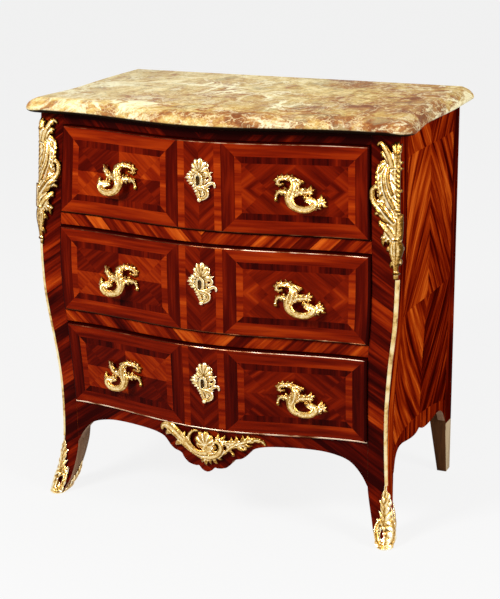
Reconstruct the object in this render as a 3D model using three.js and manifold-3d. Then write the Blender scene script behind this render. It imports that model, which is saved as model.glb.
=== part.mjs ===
// A three-drawer commode chest with a marble top, a bombé serpentine body and gilt bronze mounts.
// Millimetres, +Z up. The origin lies on the floor under the middle of the marble top,
// +X is the chest's own left-to-right as seen from the front, and the front faces -Y.
import * as THREE from "three";
import { mergeVertices } from "three/addons/utils/BufferGeometryUtils.js";
import Module from "manifold-3d";

const wasm = await Module();
wasm.setup();

// Overall sizes
const overallHeight = 850;
const marbleDepth = 514;
const marbleThickness = 30;
const marbleOverhang = 28;
const marbleRearOverhang = 4;
const fitGap = 0.3;
const cutOverrun = 5;

// Body outline: the ridge is the front corner edge that runs from the marble to the toe
const openingHalfWidth = 325;
const postFaceWidth = 35;
const shoulderBulge = 28;
const bellyBulge = 20;
const rearFlare = 15;
const sideHollow = 10;
const frontBow = 55;
const cornerCant = 5;
const ridgeChamfer = 5;

// Front frame
const apronTop = 209;
const dividerHeight = 28;
const topRailHeight = 21;
const railDepth = 90;
const apronThickness = 24;

// Posts and panels
const postDepth = 52;
const toeKick = 40;
const toeInset = 19;
const rearPostWidth = 42;
const rearPostDepth = 45;
const rearFootWidth = 21;
const rearFootDepth = 28;
const sideThickness = 16;
const backThickness = 12;
const backInset = 5;
const backPanelBottom = 172;
const backRailHeight = 30;
const backRailThickness = 25;
const boardThickness = 10;

// Drawer runners
const runnerRise = 9;
const runnerWidth = 36;
const guideHeight = 8;
const guideWidth = 7;

// Drawers
const drawerPlay = 1;
const drawerSidePlay = 1.8;
const frontThickness = 24;
const frontProud = 7.5;
const frontEdgeRound = 4;
const drawerBoard = 12;
const drawerBottomBoard = 8;
const drawerBottomRise = 6;
const drawerSideDrop = 14;
const drawerBackDrop = 12;
const drawerRearPlay = 14;

// Locks
const lockWidth = 70;
const lockBelowKeyhole = 22;
const lockFloor = 5;
const lockDepth = 13;
const lockFace = 10;
const boltWidth = 28;
const boltThickness = 6;
const boltBelowChamber = 35;
const boltTravel = 9;
const keyholeRise = 10;
const keyholeHeight = 19;
const keyholeWidth = 7;

// Gilt bronze mounts
const handleLength = 100;
const handleCentreShare = 0.6154;
const handleDrop = 10;
const escutcheonHeight = 86;
const escutcheonThickness = 5;
const cornerMountLength = 250;
const cornerMountTopDrop = 20;
const filletThickness = 3;
const filletMargin = 1.5;
const sabotShoeHeight = 52;
const sabotHeight = 120;
const sabotWall = 4;
const sabotFloor = 4;
const apronMountLength = 220;
const apronMountCentre = 150;
const scrollFlatnessShare = 0.8;
const scrollSides = 6;
const scrollStepsPerSpan = 1;

// Places that follow from the sizes above
const bodyHeight = overallHeight - marbleThickness;
const bodyTop = bodyHeight - fitGap;
const backPlane = marbleDepth / 2 - marbleRearOverhang;
const topFrontY = marbleOverhang - marbleDepth / 2;
const ridgeTopY = topFrontY + frontBow + cornerCant;
const openingHeight = (bodyHeight - apronTop - topRailHeight - 2 * dividerHeight) / 3;
const waistHalfWidth = openingHalfWidth + postFaceWidth;
const rearHalfWidth = waistHalfWidth + rearFlare;
const keyholeBelowTop = openingHeight / 2 - drawerPlay - keyholeRise;
const lockHeight = keyholeBelowTop + lockBelowKeyhole;
const boltChamberHeight = lockHeight - lockFloor;
const boltHeight = boltChamberHeight - boltBelowChamber;
const railHalfWidth = openingHalfWidth - fitGap;
const handleCentreOffset = openingHalfWidth * handleCentreShare;
const railBack = topFrontY + railDepth;
const waistForwardShare = 0.3;
const postSeam = ridgeTopY + bellyBulge * waistForwardShare + postDepth;
const rearPostInner = rearHalfWidth - rearPostWidth;
const rearPostFront = backPlane - rearPostDepth;
const backPanelRear = backPlane - backInset;
const backPanelFront = backPanelRear - backThickness;

// Outlines as shares: heights are shares of the body height, offsets are shares of the bulges
const ridgeOutShares = [
  [0, 0.62], [0.03, 0.5], [0.06, 0.36], [0.1, 0.22], [0.14, 0.14],
  [0.19, 0.08], [0.25, 0.055], [0.3, 0.07], [0.34, 0.12], [0.4, 0.27],
  [0.46, 0.46], [0.51, 0.65], [0.55, 0.78], [0.6, 0.87], [0.67, 0.93], [0.78, 0.93], [0.9, 0.88], [1, 0.8],
];
const ridgeForwardShares = [
  [0, 1.25], [0.025, 0.72], [0.06, 0.17], [0.12, -0.2], [0.19, -0.24], [0.29, -0.06], [0.34, 0.12], [0.39, 0.32],
  [0.49, 0.72], [0.59, 0.86], [0.66, 0.85], [0.76, 0.68], [0.84, 0.48], [0.92, 0.25], [1, 0],
];
const bowShares = [
  [0, 0.92], [0.2, 0.92], [0.38, 0.79], [0.5, 0.69], [0.62, 0.67], [0.75, 0.74], [0.88, 0.86], [1, 1],
];
// How far the ends of the drawers and rails move out with the swell, as shares of shoulderBulge
const openingOutShares = [
  [0, 0], [0.255, 0], [0.3, 0.012], [0.363, 0.036], [0.415, 0.08], [0.463, 0.12], [0.5, 0.19], [0.53, 0.27],
  [0.57, 0.345], [0.61, 0.38], [0.66, 0.38], [0.707, 0.34], [0.78, 0.26], [0.854, 0.17], [0.927, 0.08], [1, 0],
];
// The apron's lower edge from the middle outwards, as shares of the opening's half width and apronTop
const apronEdgeShares = [
  [0, 0.55], [0.018, 0.556], [0.037, 0.575], [0.052, 0.605], [0.074, 0.598], [0.1, 0.602],
  [0.13, 0.615], [0.16, 0.655], [0.175, 0.699], [0.197, 0.713], [0.227, 0.724], [0.258, 0.756],
  [0.283, 0.8], [0.307, 0.833], [0.344, 0.853], [0.4, 0.866], [0.49, 0.871], [0.615, 0.868],
  [0.72, 0.856], [0.8, 0.832], [0.87, 0.794], [0.915, 0.742], [0.967, 0.641], [1, 0.545],
];
// The side's lower edge from its middle to either leg, as shares of its half length and apronTop
const sideEdgeShares = [
  [0, 0.8], [0.1, 0.765], [0.25, 0.756], [0.42, 0.768],
  [0.6, 0.785], [0.76, 0.775], [0.9, 0.715], [1, 0.6],
];
// The leg below the apron, from the floor up: heights as shares of apronTop
const legInnerShares = [[0, 1], [0.13, 0.85], [0.26, 0.54], [0.38, 0.25], [0.52, 0], [0.53, 0], [1, 0]];
const legRearShares = [[0, 1], [0.14, 0.76], [0.24, 0.6], [0.4, 0.33], [0.59, 0.08], [0.68, 0], [0.7, 0], [1, 0]];
const marbleEdgeShares = [
  [0, 0.45], [0.04, 0.64], [0.1, 0.83], [0.2, 0.965], [0.33, 1], [0.46, 0.96],
  [0.58, 0.875], [0.7, 0.75], [0.8, 0.6], [0.9, 0.37], [0.96, 0.2], [1, 0.07],
];

// Small number helpers
const mix = (a, b, share) => a + (b - a) * share;
const limit = (value, low, high) => Math.min(high, Math.max(low, value));

// Runs a smooth curve through a table of [share, value] rows.
function along(table, share) {
  const last = table.length - 1;
  const at = limit(share, table[0][0], table[last][0]);
  let k = 0;
  while (k < last - 1 && table[k + 1][0] < at) k += 1;
  const slope = (i) => {
    const low = table[Math.max(i - 1, 0)];
    const high = table[Math.min(i + 1, last)];
    return (high[1] - low[1]) / (high[0] - low[0]);
  };
  const [x0, y0] = table[k];
  const [x1, y1] = table[k + 1];
  const width = x1 - x0;
  const t = (at - x0) / width;
  const rise = t * t * (3 - 2 * t);
  const start = t * (1 - t) * (1 - t) * width * slope(k);
  const end = t * t * (t - 1) * width * slope(k + 1);
  return mix(y0, y1, rise) + start + end;
}

// Straight lines through a table of [share, value] rows, for outlines with cusps.
function straightAlong(table, share) {
  const at = limit(share, table[0][0], table[table.length - 1][0]);
  const k = Math.max(table.findIndex((row) => row[0] >= at), 1);
  const [x0, y0] = table[k - 1];
  const [x1, y1] = table[k];
  return mix(y0, y1, (at - x0) / (x1 - x0));
}

// The body's outer surface
const ridgeX = (z) => waistHalfWidth + shoulderBulge * along(ridgeOutShares, z / bodyHeight);
const ridgeY = (z) => ridgeTopY - bellyBulge * along(ridgeForwardShares, z / bodyHeight);
const openingX = (z) => openingHalfWidth + shoulderBulge * along(openingOutShares, z / bodyHeight);

function frontY(x, z) {
  const across = Math.abs(x) / openingX(z);
  const swell = across < 1 ? (1 + Math.cos(Math.PI * across)) / 2 : 0;
  const towardsRidge = (Math.abs(x) - openingX(z)) / (ridgeX(z) - openingX(z));
  const cant = cornerCant * (1 - limit(towardsRidge, 0, 1));
  return ridgeY(z) - cant - frontBow * along(bowShares, z / bodyHeight) * swell;
}

function sideX(y, z) {
  const forward = limit((backPlane - y) / (backPlane - ridgeY(z)), 0, 1);
  const hollow = sideHollow * Math.sin(Math.PI * forward * forward) ** 2;
  return mix(rearHalfWidth, ridgeX(z), forward) - hollow;
}

// The front post in plan at height z, grown outwards by grow: counter-clockwise from above
const postInnerX = (z) => openingX(z) + toeInset * along(legInnerShares, z / apronTop);
const postRearY = (z) => postSeam - toeKick * along(legRearShares, z / apronTop);

function postPlan(z, grow) {
  const inner = postInnerX(z) - grow;
  const rear = postRearY(z) + grow;
  const ridge = ridgeX(z);
  const front = ridgeY(z);
  const middleX = mix(postInnerX(z), ridge, 1 / 2);
  const middleY = mix(front, postRearY(z), 1 / 2);
  return [
    [inner, rear],
    [inner, frontY(postInnerX(z), z) - grow],
    [middleX, frontY(middleX, z) - grow],
    [ridge - ridgeChamfer, frontY(ridge - ridgeChamfer, z) - grow],
    [sideX(front + ridgeChamfer, z) + grow, front + ridgeChamfer],
    [sideX(middleY, z) + grow, middleY],
    [sideX(postRearY(z), z) + grow, rear],
  ];
}

// Turns a closed geometry into a solid that can be cut and joined, and back.
function solidOf(geometry) {
  const bare = new THREE.BufferGeometry();
  bare.setAttribute("position", geometry.getAttribute("position"));
  if (geometry.index) bare.setIndex(geometry.index);
  const merged = mergeVertices(bare);
  const vertProperties = new Float32Array(merged.getAttribute("position").array);
  const triVerts = new Uint32Array(merged.index.array);
  return new wasm.Manifold(new wasm.Mesh({ numProp: 3, vertProperties, triVerts }));
}

function geometryOf(solid) {
  const { numProp, vertProperties, triVerts } = solid.getMesh();
  const places = [];
  for (let k = 0; k < vertProperties.length; k += numProp) {
    places.push(...vertProperties.subarray(k, k + 3));
  }
  return closedGeometry(places, Array.from(triVerts));
}

function closedGeometry(places, faces) {
  const geometry = new THREE.BufferGeometry();
  geometry.setAttribute("position", new THREE.Float32BufferAttribute(places, 3));
  geometry.setIndex(faces);
  geometry.computeVertexNormals();
  return geometry;
}

// A board between an outer and an inner surface, each a grid of columns by rows of [x, y, z] points.
function board(columns, rows, outer, inner) {
  const places = [];
  const faces = [];
  const id = (side, c, r) => (side * columns.length + c) * rows.length + r;
  [outer, inner].forEach((surface) => {
    columns.forEach((c) => rows.forEach((r) => places.push(...surface(c, r))));
  });
  for (let c = 0; c < columns.length - 1; c += 1) {
    for (let r = 0; r < rows.length - 1; r += 1) {
      faces.push(id(0, c, r), id(0, c + 1, r), id(0, c + 1, r + 1));
      faces.push(id(0, c, r), id(0, c + 1, r + 1), id(0, c, r + 1));
      faces.push(id(1, c, r), id(1, c + 1, r + 1), id(1, c + 1, r));
      faces.push(id(1, c, r), id(1, c, r + 1), id(1, c + 1, r + 1));
    }
  }
  const lastColumn = columns.length - 1;
  const lastRow = rows.length - 1;
  const border = [];
  for (let c = 0; c < lastColumn; c += 1) border.push([c, 0]);
  for (let r = 0; r < lastRow; r += 1) border.push([lastColumn, r]);
  for (let c = lastColumn; c > 0; c -= 1) border.push([c, lastRow]);
  for (let r = lastRow; r > 0; r -= 1) border.push([0, r]);
  border.forEach(([c, r], k) => {
    const [nextC, nextR] = border[(k + 1) % border.length];
    faces.push(id(0, nextC, nextR), id(0, c, r), id(1, c, r));
    faces.push(id(0, nextC, nextR), id(1, c, r), id(1, nextC, nextR));
  });
  return closedGeometry(places, faces);
}

// A solid through level outlines of [x, y] points, one for each height.
function loft(heights, plan) {
  const rings = heights.map((z) => plan(z).map(([x, y]) => [x, y, z]));
  const count = rings[0].length;
  const faces = [];
  for (let level = 0; level < rings.length - 1; level += 1) {
    for (let k = 0; k < count; k += 1) {
      const next = (k + 1) % count;
      const [a, b] = [level * count + k, level * count + next];
      faces.push(a, b, b + count, a, b + count, a + count);
    }
  }
  const cap = (ring) => {
    const outline = ring.map(([x, y]) => new THREE.Vector2(x, y));
    return THREE.ShapeUtils.triangulateShape(outline, []);
  };
  const top = (rings.length - 1) * count;
  cap(rings[0]).forEach(([a, b, c]) => faces.push(a, c, b));
  cap(rings[rings.length - 1]).forEach(([a, b, c]) => faces.push(top + a, top + b, top + c));
  return closedGeometry(rings.flat(2), faces);
}

// A box between two corners.
function block(low, high) {
  const size = high.map((value, k) => value - low[k]);
  const middle = high.map((value, k) => (value + low[k]) / 2);
  return new THREE.BoxGeometry(...size).translate(...middle);
}

// A flat board with the outline of [x, y] points, from height low to height high.
function plank(outline, low, high) {
  const shape = new THREE.Shape(outline.map(([x, y]) => new THREE.Vector2(x, y)));
  const made = new THREE.ExtrudeGeometry(shape, { depth: high - low, bevelEnabled: false });
  return made.translate(0, 0, low);
}

// Mirrors a right-hand piece into its left-hand twin.
function mirrored(geometry) {
  const twin = geometry.clone().scale(-1, 1, 1);
  const index = Array.from(twin.index.array);
  for (let k = 0; k < index.length; k += 3) {
    [index[k + 1], index[k + 2]] = [index[k + 2], index[k + 1]];
  }
  twin.setIndex(index);
  return twin;
}

// Evenly spread values from low to high, both ends included.
const spread = (low, high, steps) =>
  Array.from({ length: steps + 1 }, (_, k) => mix(low, high, k / steps));

// Materials, one maker for each kind of surface
const finish = (color, roughness, metalness) => () =>
  new THREE.MeshStandardMaterial({ color, roughness, metalness });
const veneer = finish(0x7a2410, 0.25, 0);
const oak = finish(0x9c7444, 0.7, 0);
const marble = finish(0xd9bd92, 0.2, 0);
const giltBronze = finish(0xd9a83c, 0.3, 1);
const iron = finish(0x55524e, 0.5, 1);

const group = new THREE.Group();
group.name = "commode_chest";

function addPiece(parent, name, geometry, material) {
  const mesh = new THREE.Mesh(geometry, material());
  mesh.name = name;
  parent.add(mesh);
}

function addPair(parent, name, rightGeometry, material) {
  addPiece(parent, name + "_right", rightGeometry, material);
  addPiece(parent, name + "_left", mirrored(rightGeometry), material);
}

// Marble top: the plan of the body's top edge, widened all round, with a moulded nose
function marblePlan(offset) {
  const sideSteps = 8;
  const frontSteps = 14;
  const cornerSteps = 4;
  const cornerY = ridgeY(bodyHeight);
  const outline = [];
  spread(cornerY, backPlane, sideSteps).reverse().forEach((y) => {
    outline.push([sideX(y, bodyHeight) + offset, y === backPlane ? marbleDepth / 2 : y]);
  });
  for (let k = 1; k < cornerSteps; k += 1) {
    const turn = (Math.PI / 2) * (k / cornerSteps);
    const cornerX = ridgeX(bodyHeight);
    outline.push([cornerX + offset * Math.cos(turn), cornerY - offset * Math.sin(turn)]);
  }
  spread(0, ridgeX(bodyHeight), frontSteps).reverse().forEach((x) => {
    outline.push([x, frontY(x, bodyHeight) - offset]);
  });
  const left = outline.slice(0, -1).reverse().map(([x, y]) => [-x, y]);
  return [...outline, ...left].reverse();
}

const marbleHeights = marbleEdgeShares.map(([share]) => bodyHeight + marbleThickness * share);
addPiece(
  group,
  "marble_top",
  loft(marbleHeights, (z) =>
    marblePlan(marbleOverhang * straightAlong(marbleEdgeShares, (z - bodyHeight) / marbleThickness))),
  marble,
);

// Front posts, each one timber from the marble to the toe inside its sabot
const postHeightShares = [
  0.03, 0.06, 0.1, 0.137, 0.19, 0.25, 0.32, 0.39, 0.46, 0.53, 0.6, 0.68, 0.76, 0.84, 0.92,
];
const postBottom = sabotFloor + fitGap;
const postHeights = [postBottom, ...postHeightShares.map((share) => share * bodyHeight), bodyTop];
const postSolid = (grow, low, high) =>
  loft([low, ...postHeights.filter((z) => z > low && z < high), high], (z) => postPlan(z, grow));
addPair(group, "front_post", postSolid(0, postBottom, bodyTop), veneer);

// Rear posts, square above and tapered from the inside to the foot
const rearTaperTopShare = 0.77;
const rearTaperTop = apronTop * rearTaperTopShare;
function rearPostPlan(z) {
  const taper = limit(1 - z / rearTaperTop, 0, 1);
  const inner = mix(rearPostInner, rearHalfWidth - rearFootWidth, taper);
  const front = mix(rearPostFront, backPlane - rearFootDepth, taper);
  return [
    [inner, front],
    [sideX(front, z), front],
    [rearHalfWidth, backPlane],
    [inner, backPlane],
  ];
}
const rearHeights = [0, rearTaperTop, ...spread(rearTaperTop, bodyTop, 5).slice(1)];
addPair(group, "rear_post", loft(rearHeights, rearPostPlan), veneer);

// Side panels between the posts, with the scalloped lower edge
const sideColumnShares = [
  ...sideEdgeShares.slice(1).map(([share]) => -share).reverse(),
  ...sideEdgeShares.map(([share]) => share),
];
const sideRowShares = [0, 0.15, 0.3, 0.42, 0.55, 0.7, 0.85, 1];
function sidePoint(columnShare, rowShare, inset) {
  const low = apronTop * straightAlong(sideEdgeShares, Math.abs(columnShare));
  const z = mix(low, bodyTop, rowShare);
  const y = mix(postSeam + fitGap, rearPostFront - fitGap, (columnShare + 1) / 2);
  return [sideX(y, z) - inset, y, z];
}
const sideBoard = board(
  sideColumnShares,
  sideRowShares,
  (c, r) => sidePoint(c, r, 0),
  (c, r) => sidePoint(c, r, sideThickness),
);
addPair(group, "side_panel", sideBoard, veneer);

// Front rails, each with a mortise in its underside for the bolt of the drawer below
const frontSteps = 14;
const railColumnShares = spread(-1, 1, frontSteps);
const railX = (share, z) => share * (openingX(z) - fitGap);

function lockPlace(top) {
  const front = frontY(0, top - lockHeight / 2) - frontProud + lockFace;
  return { front, middle: front + fitGap + lockDepth / 2 };
}

function railSolid(low, high) {
  const front = (share, z) => [railX(share, z), frontY(railX(share, z), z), z];
  const rear = (share, z) => [railX(share, z), railBack, z];
  const solid = solidOf(board(railColumnShares, [low, high], front, rear));
  const { middle } = lockPlace(low - drawerPlay);
  const half = boltThickness / 2 + fitGap;
  const mortise = block(
    [-boltWidth / 2 - fitGap, middle - half, low - cutOverrun],
    [boltWidth / 2 + fitGap, middle + half, low + boltTravel],
  );
  return geometryOf(solid.subtract(solidOf(mortise)));
}

const openings = ["bottom", "middle", "top"].map((name, k) => {
  const low = apronTop + k * (openingHeight + dividerHeight);
  return { name, low, high: low + openingHeight };
});
const [bottomOpening, middleOpening, topOpening] = openings;
addPiece(group, "lower_divider_rail", railSolid(bottomOpening.high, middleOpening.low), veneer);
addPiece(group, "upper_divider_rail", railSolid(middleOpening.high, topOpening.low), veneer);
addPiece(group, "top_front_rail", railSolid(topOpening.high, bodyTop), veneer);

// Apron with its scalloped lower edge
const apronColumnShares = [
  ...apronEdgeShares.slice(1).map(([share]) => -share).reverse(),
  ...apronEdgeShares.map(([share]) => share),
];
function apronPoint(columnShare, rowShare, inset) {
  const z = mix(apronTop * straightAlong(apronEdgeShares, Math.abs(columnShare)), apronTop, rowShare);
  const x = railX(columnShare, z);
  return [x, frontY(x, z) + inset, z];
}
const apronBoard = (growth) => board(
  apronColumnShares,
  [0, 1 / 2, 1],
  (c, r) => apronPoint(c, r, -growth),
  (c, r) => apronPoint(c, r, apronThickness + growth),
);
addPiece(group, "front_apron", apronBoard(0), veneer);

// Back of the carcase
const backHalfWidth = rearPostInner - fitGap;
const backRailLow = bodyTop - backRailHeight;
const backPanel = block(
  [-backHalfWidth, backPanelFront, backPanelBottom],
  [backHalfWidth, backPanelRear, backRailLow - fitGap],
);
const backRail = block(
  [-backHalfWidth, backPanelRear - backRailThickness, backRailLow],
  [backHalfWidth, backPanelRear, bodyTop],
);
addPiece(group, "back_panel", backPanel, oak);
addPiece(group, "top_back_rail", backRail, oak);

// Dust boards behind the dividers, and the bottom board behind the apron
const boardRear = backPanelFront - fitGap;
const boardTop = (opening) => opening.low - runnerRise;
[["lower", middleOpening], ["upper", topOpening]].forEach(([name, opening]) => {
  const high = boardTop(opening);
  const dustBoard = block(
    [-railHalfWidth, railBack + fitGap, high - boardThickness],
    [railHalfWidth, boardRear, high],
  );
  addPiece(group, "dust_board_" + name, dustBoard, oak);
});
const bottomBoardTop = boardTop(bottomOpening);
const insideApron = (x) => [x, frontY(x, bottomBoardTop) + apronThickness / 2];
const bottomFrontEdge = railColumnShares.map((share) => insideApron(share * railHalfWidth));
const bottomBlank = solidOf(plank(
  [...bottomFrontEdge, [railHalfWidth, boardRear], [-railHalfWidth, boardRear]],
  bottomBoardTop - boardThickness,
  bottomBoardTop,
));
addPiece(group, "bottom_board", geometryOf(bottomBlank.subtract(solidOf(apronBoard(fitGap)))), oak);

// Runners: each carries a drawer side on its ledge and guides it with its raised outer edge
const runnerOuter = rearPostInner - fitGap;
const runnerInner = runnerOuter - runnerWidth;
const runnerFront = postSeam + fitGap;
openings.forEach((opening) => {
  const bottom = boardTop(opening) + fitGap;
  const profile = new THREE.Shape([
    new THREE.Vector2(runnerInner, bottom),
    new THREE.Vector2(runnerOuter, bottom),
    new THREE.Vector2(runnerOuter, opening.low + guideHeight),
    new THREE.Vector2(runnerOuter - guideWidth, opening.low + guideHeight),
    new THREE.Vector2(runnerOuter - guideWidth, opening.low),
    new THREE.Vector2(runnerInner, opening.low),
  ]);
  const made = new THREE.ExtrudeGeometry(profile, { depth: boardRear - runnerFront, bevelEnabled: false });
  made.rotateX(Math.PI / 2).translate(0, boardRear, 0);
  const runner = geometryOf(solidOf(made));
  addPair(group, opening.name + "_runner", runner, oak);
});

// Scrolls and leaves: a bar along rows of [across, up, stand-off, half width], all shares of one length.
// place(across, up) gives the point and the outward direction of the surface that carries the mount.
function scroll(rowShares, unit, place) {
  const paths = [0, 2].map((k) => {
    const stops = rowShares.map((row) => new THREE.Vector3(row[k] * unit, row[k + 1] * unit, 0));
    return new THREE.CatmullRomCurve3(stops, false, "catmullrom", 1 / 2);
  });
  const steps = (rowShares.length - 1) * scrollStepsPerSpan;
  const frames = spread(0, 1, steps).map((t) => {
    const { x: across, y: up } = paths[0].getPoint(t);
    const { x: standOff, y: half } = paths[1].getPoint(t);
    const { point, normal } = place(across, up);
    return { centre: point.clone().addScaledVector(normal, standOff), normal, half };
  });
  const places = [];
  frames.forEach(({ centre, normal, half }, k) => {
    const before = frames[Math.max(k - 1, 0)].centre;
    const after = frames[Math.min(k + 1, steps)].centre;
    const tangent = after.clone().sub(before).normalize();
    const across = tangent.clone().cross(normal).normalize();
    const out = across.clone().cross(tangent).normalize();
    for (let s = 0; s < scrollSides; s += 1) {
      const turn = (2 * Math.PI * s) / scrollSides;
      const spot = centre.clone()
        .addScaledVector(across, half * Math.cos(turn))
        .addScaledVector(out, half * scrollFlatnessShare * Math.sin(turn));
      places.push(...spot.toArray());
    }
  });
  const faces = [];
  for (let k = 0; k < steps; k += 1) {
    for (let s = 0; s < scrollSides; s += 1) {
      const [a, b] = [k * scrollSides + s, k * scrollSides + ((s + 1) % scrollSides)];
      faces.push(a, b + scrollSides, b, a, a + scrollSides, b + scrollSides);
    }
  }
  for (let s = 1; s < scrollSides - 1; s += 1) {
    const end = steps * scrollSides;
    faces.push(0, s, s + 1, end, end + s + 1, end + s);
  }
  return solidOf(closedGeometry(places, faces));
}

const joined = (solids) => solids.reduce((whole, piece) => whole.add(piece));

// Corner mounts: leafwork over the ridge, laid out from the ridge and down from the marble
const cornerMountShares = {
  fork: [
    [-0.165, -0.01, 0.01, 0.008], [-0.13, 0.005, 0.02, 0.014],
    [-0.09, -0.035, 0.02, 0.018], [-0.06, -0.1, 0.02, 0.022],
    [-0.05, -0.2, 0.02, 0.03],
  ],
  bar: [
    [-0.035, 0.02, 0.01, 0.024], [-0.02, -0.06, 0.02, 0.03],
    [-0.02, -0.16, 0.02, 0.032], [-0.02, -0.26, 0.02, 0.034],
    [-0.02, -0.38, 0.015, 0.034],
  ],
  frill: [
    [-0.155, -0.15, 0.01, 0.012], [-0.16, -0.22, 0.015, 0.02],
    [-0.135, -0.3, 0.015, 0.022], [-0.1, -0.37, 0.015, 0.024],
  ],
  curl: [
    [-0.15, -0.31, 0.01, 0.014], [-0.195, -0.35, 0.015, 0.016], [-0.19, -0.42, 0.015, 0.018],
    [-0.14, -0.46, 0.015, 0.026], [-0.08, -0.5, 0.015, 0.03],
  ],
  body: [
    [-0.07, -0.14, 0.01, 0.04], [-0.09, -0.24, 0.02, 0.055], [-0.08, -0.35, 0.02, 0.06],
    [-0.045, -0.46, 0.02, 0.05], [-0.02, -0.56, 0.015, 0.03],
  ],
  sweep: [
    [-0.165, -0.51, 0.01, 0.01], [-0.13, -0.485, 0.02, 0.016],
    [-0.08, -0.52, 0.02, 0.022], [-0.02, -0.57, 0.015, 0.026],
  ],
  lowerScroll: [
    [-0.12, -0.56, 0.008, 0.012], [-0.085, -0.62, 0.015, 0.022],
    [-0.075, -0.68, 0.015, 0.026], [-0.03, -0.72, 0.012, 0.024],
  ],
  lowerLeaf: [[-0.105, -0.77, 0.008, 0.008], [-0.07, -0.72, 0.012, 0.016], [-0.02, -0.68, 0.012, 0.02]],
  stem: [
    [-0.016, -0.5, 0.015, 0.036], [-0.016, -0.62, 0.015, 0.034],
    [-0.02, -0.72, 0.015, 0.038], [-0.022, -0.8, 0.015, 0.044],
    [-0.014, -0.9, 0.012, 0.03], [-0.01, -1, 0.008, 0.02],
  ],
};

function onPost(across, up) {
  const z = bodyHeight - cornerMountTopDrop + up;
  const flat = -ridgeChamfer;
  const x = ridgeX(z) + Math.min(across, flat);
  const wrap = limit((across - flat) / (2 * ridgeChamfer), 0, 1);
  const front = new THREE.Vector3(x, frontY(x, z), z);
  const side = new THREE.Vector3(sideX(ridgeY(z) + ridgeChamfer, z), ridgeY(z) + ridgeChamfer, z);
  const normal = new THREE.Vector3(wrap, wrap - 1, 0).normalize();
  return { point: front.lerp(side, wrap), normal };
}

const grownPost = solidOf(postSolid(fitGap, sabotFloor, bodyHeight));
const cornerMount = joined(Object.values(cornerMountShares)
  .map((rowShares) => scroll(rowShares, cornerMountLength, onPost))).subtract(grownPost);
addPair(group, "corner_mount", geometryOf(cornerMount), giltBronze);

// Sabots: a cast shoe around the toe with a leaf that climbs the ridge
const shoeHeightShares = [0, 0.08, 0.3, 0.55, 0.8, 1];
const shoeSwellShares = [[0, 1.5], [0.08, 1.9], [0.3, 1.2], [0.55, 0.9], [0.8, 1.1], [1, 0.6]];
const shoe = loft(
  shoeHeightShares.map((share) => share * sabotShoeHeight),
  (z) => postPlan(z, sabotWall * straightAlong(shoeSwellShares, z / sabotShoeHeight)),
);
const sabotLeafShares = [
  [-0.07, 0.3, 0.01, 0.15], [-0.06, 0.45, 0.02, 0.14],
  [-0.05, 0.6, 0.02, 0.12], [-0.045, 0.78, 0.02, 0.1],
  [-0.04, 0.92, 0.01, 0.05], [-0.04, 0.985, 0.01, 0.012],
];
const onRidge = (across, up) => onPost(across, up - bodyHeight + cornerMountTopDrop);
const sabot = solidOf(shoe).add(scroll(sabotLeafShares, sabotHeight, onRidge)).subtract(grownPost);
addPair(group, "sabot", geometryOf(sabot), giltBronze);

// Corner fillets: a plain bar down the ridge between the corner mount and the sabot
const filletLow = sabotHeight + fitGap;
const filletStartShare = 1.02;
const filletHigh = bodyHeight - cornerMountTopDrop - cornerMountLength * filletStartShare;
function filletPlan(z) {
  const plan = postPlan(z, 0);
  const front = new THREE.Vector2(...plan[3]);
  const side = new THREE.Vector2(...plan[4]);
  const spanned = side.clone().sub(front);
  const out = new THREE.Vector2(spanned.y, -spanned.x).normalize();
  const margin = spanned.clone().normalize().multiplyScalar(filletMargin);
  const middle = front.clone().lerp(side, 1 / 2);
  const lift = (spot, height) => spot.clone().addScaledVector(out, height).toArray();
  return [
    lift(front.clone().sub(margin), 0),
    lift(front, filletThickness),
    lift(middle, filletThickness + fitGap),
    lift(side, filletThickness),
    lift(side.clone().add(margin), 0),
    lift(middle, -filletThickness),
  ];
}
const filletLevels = postHeights.filter((z) => z > filletLow && z < filletHigh);
const filletHeights = [filletLow, ...filletLevels, filletHigh];
const fillet = solidOf(loft(filletHeights, filletPlan)).subtract(grownPost);
addPair(group, "corner_fillet", geometryOf(fillet), giltBronze);

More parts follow.
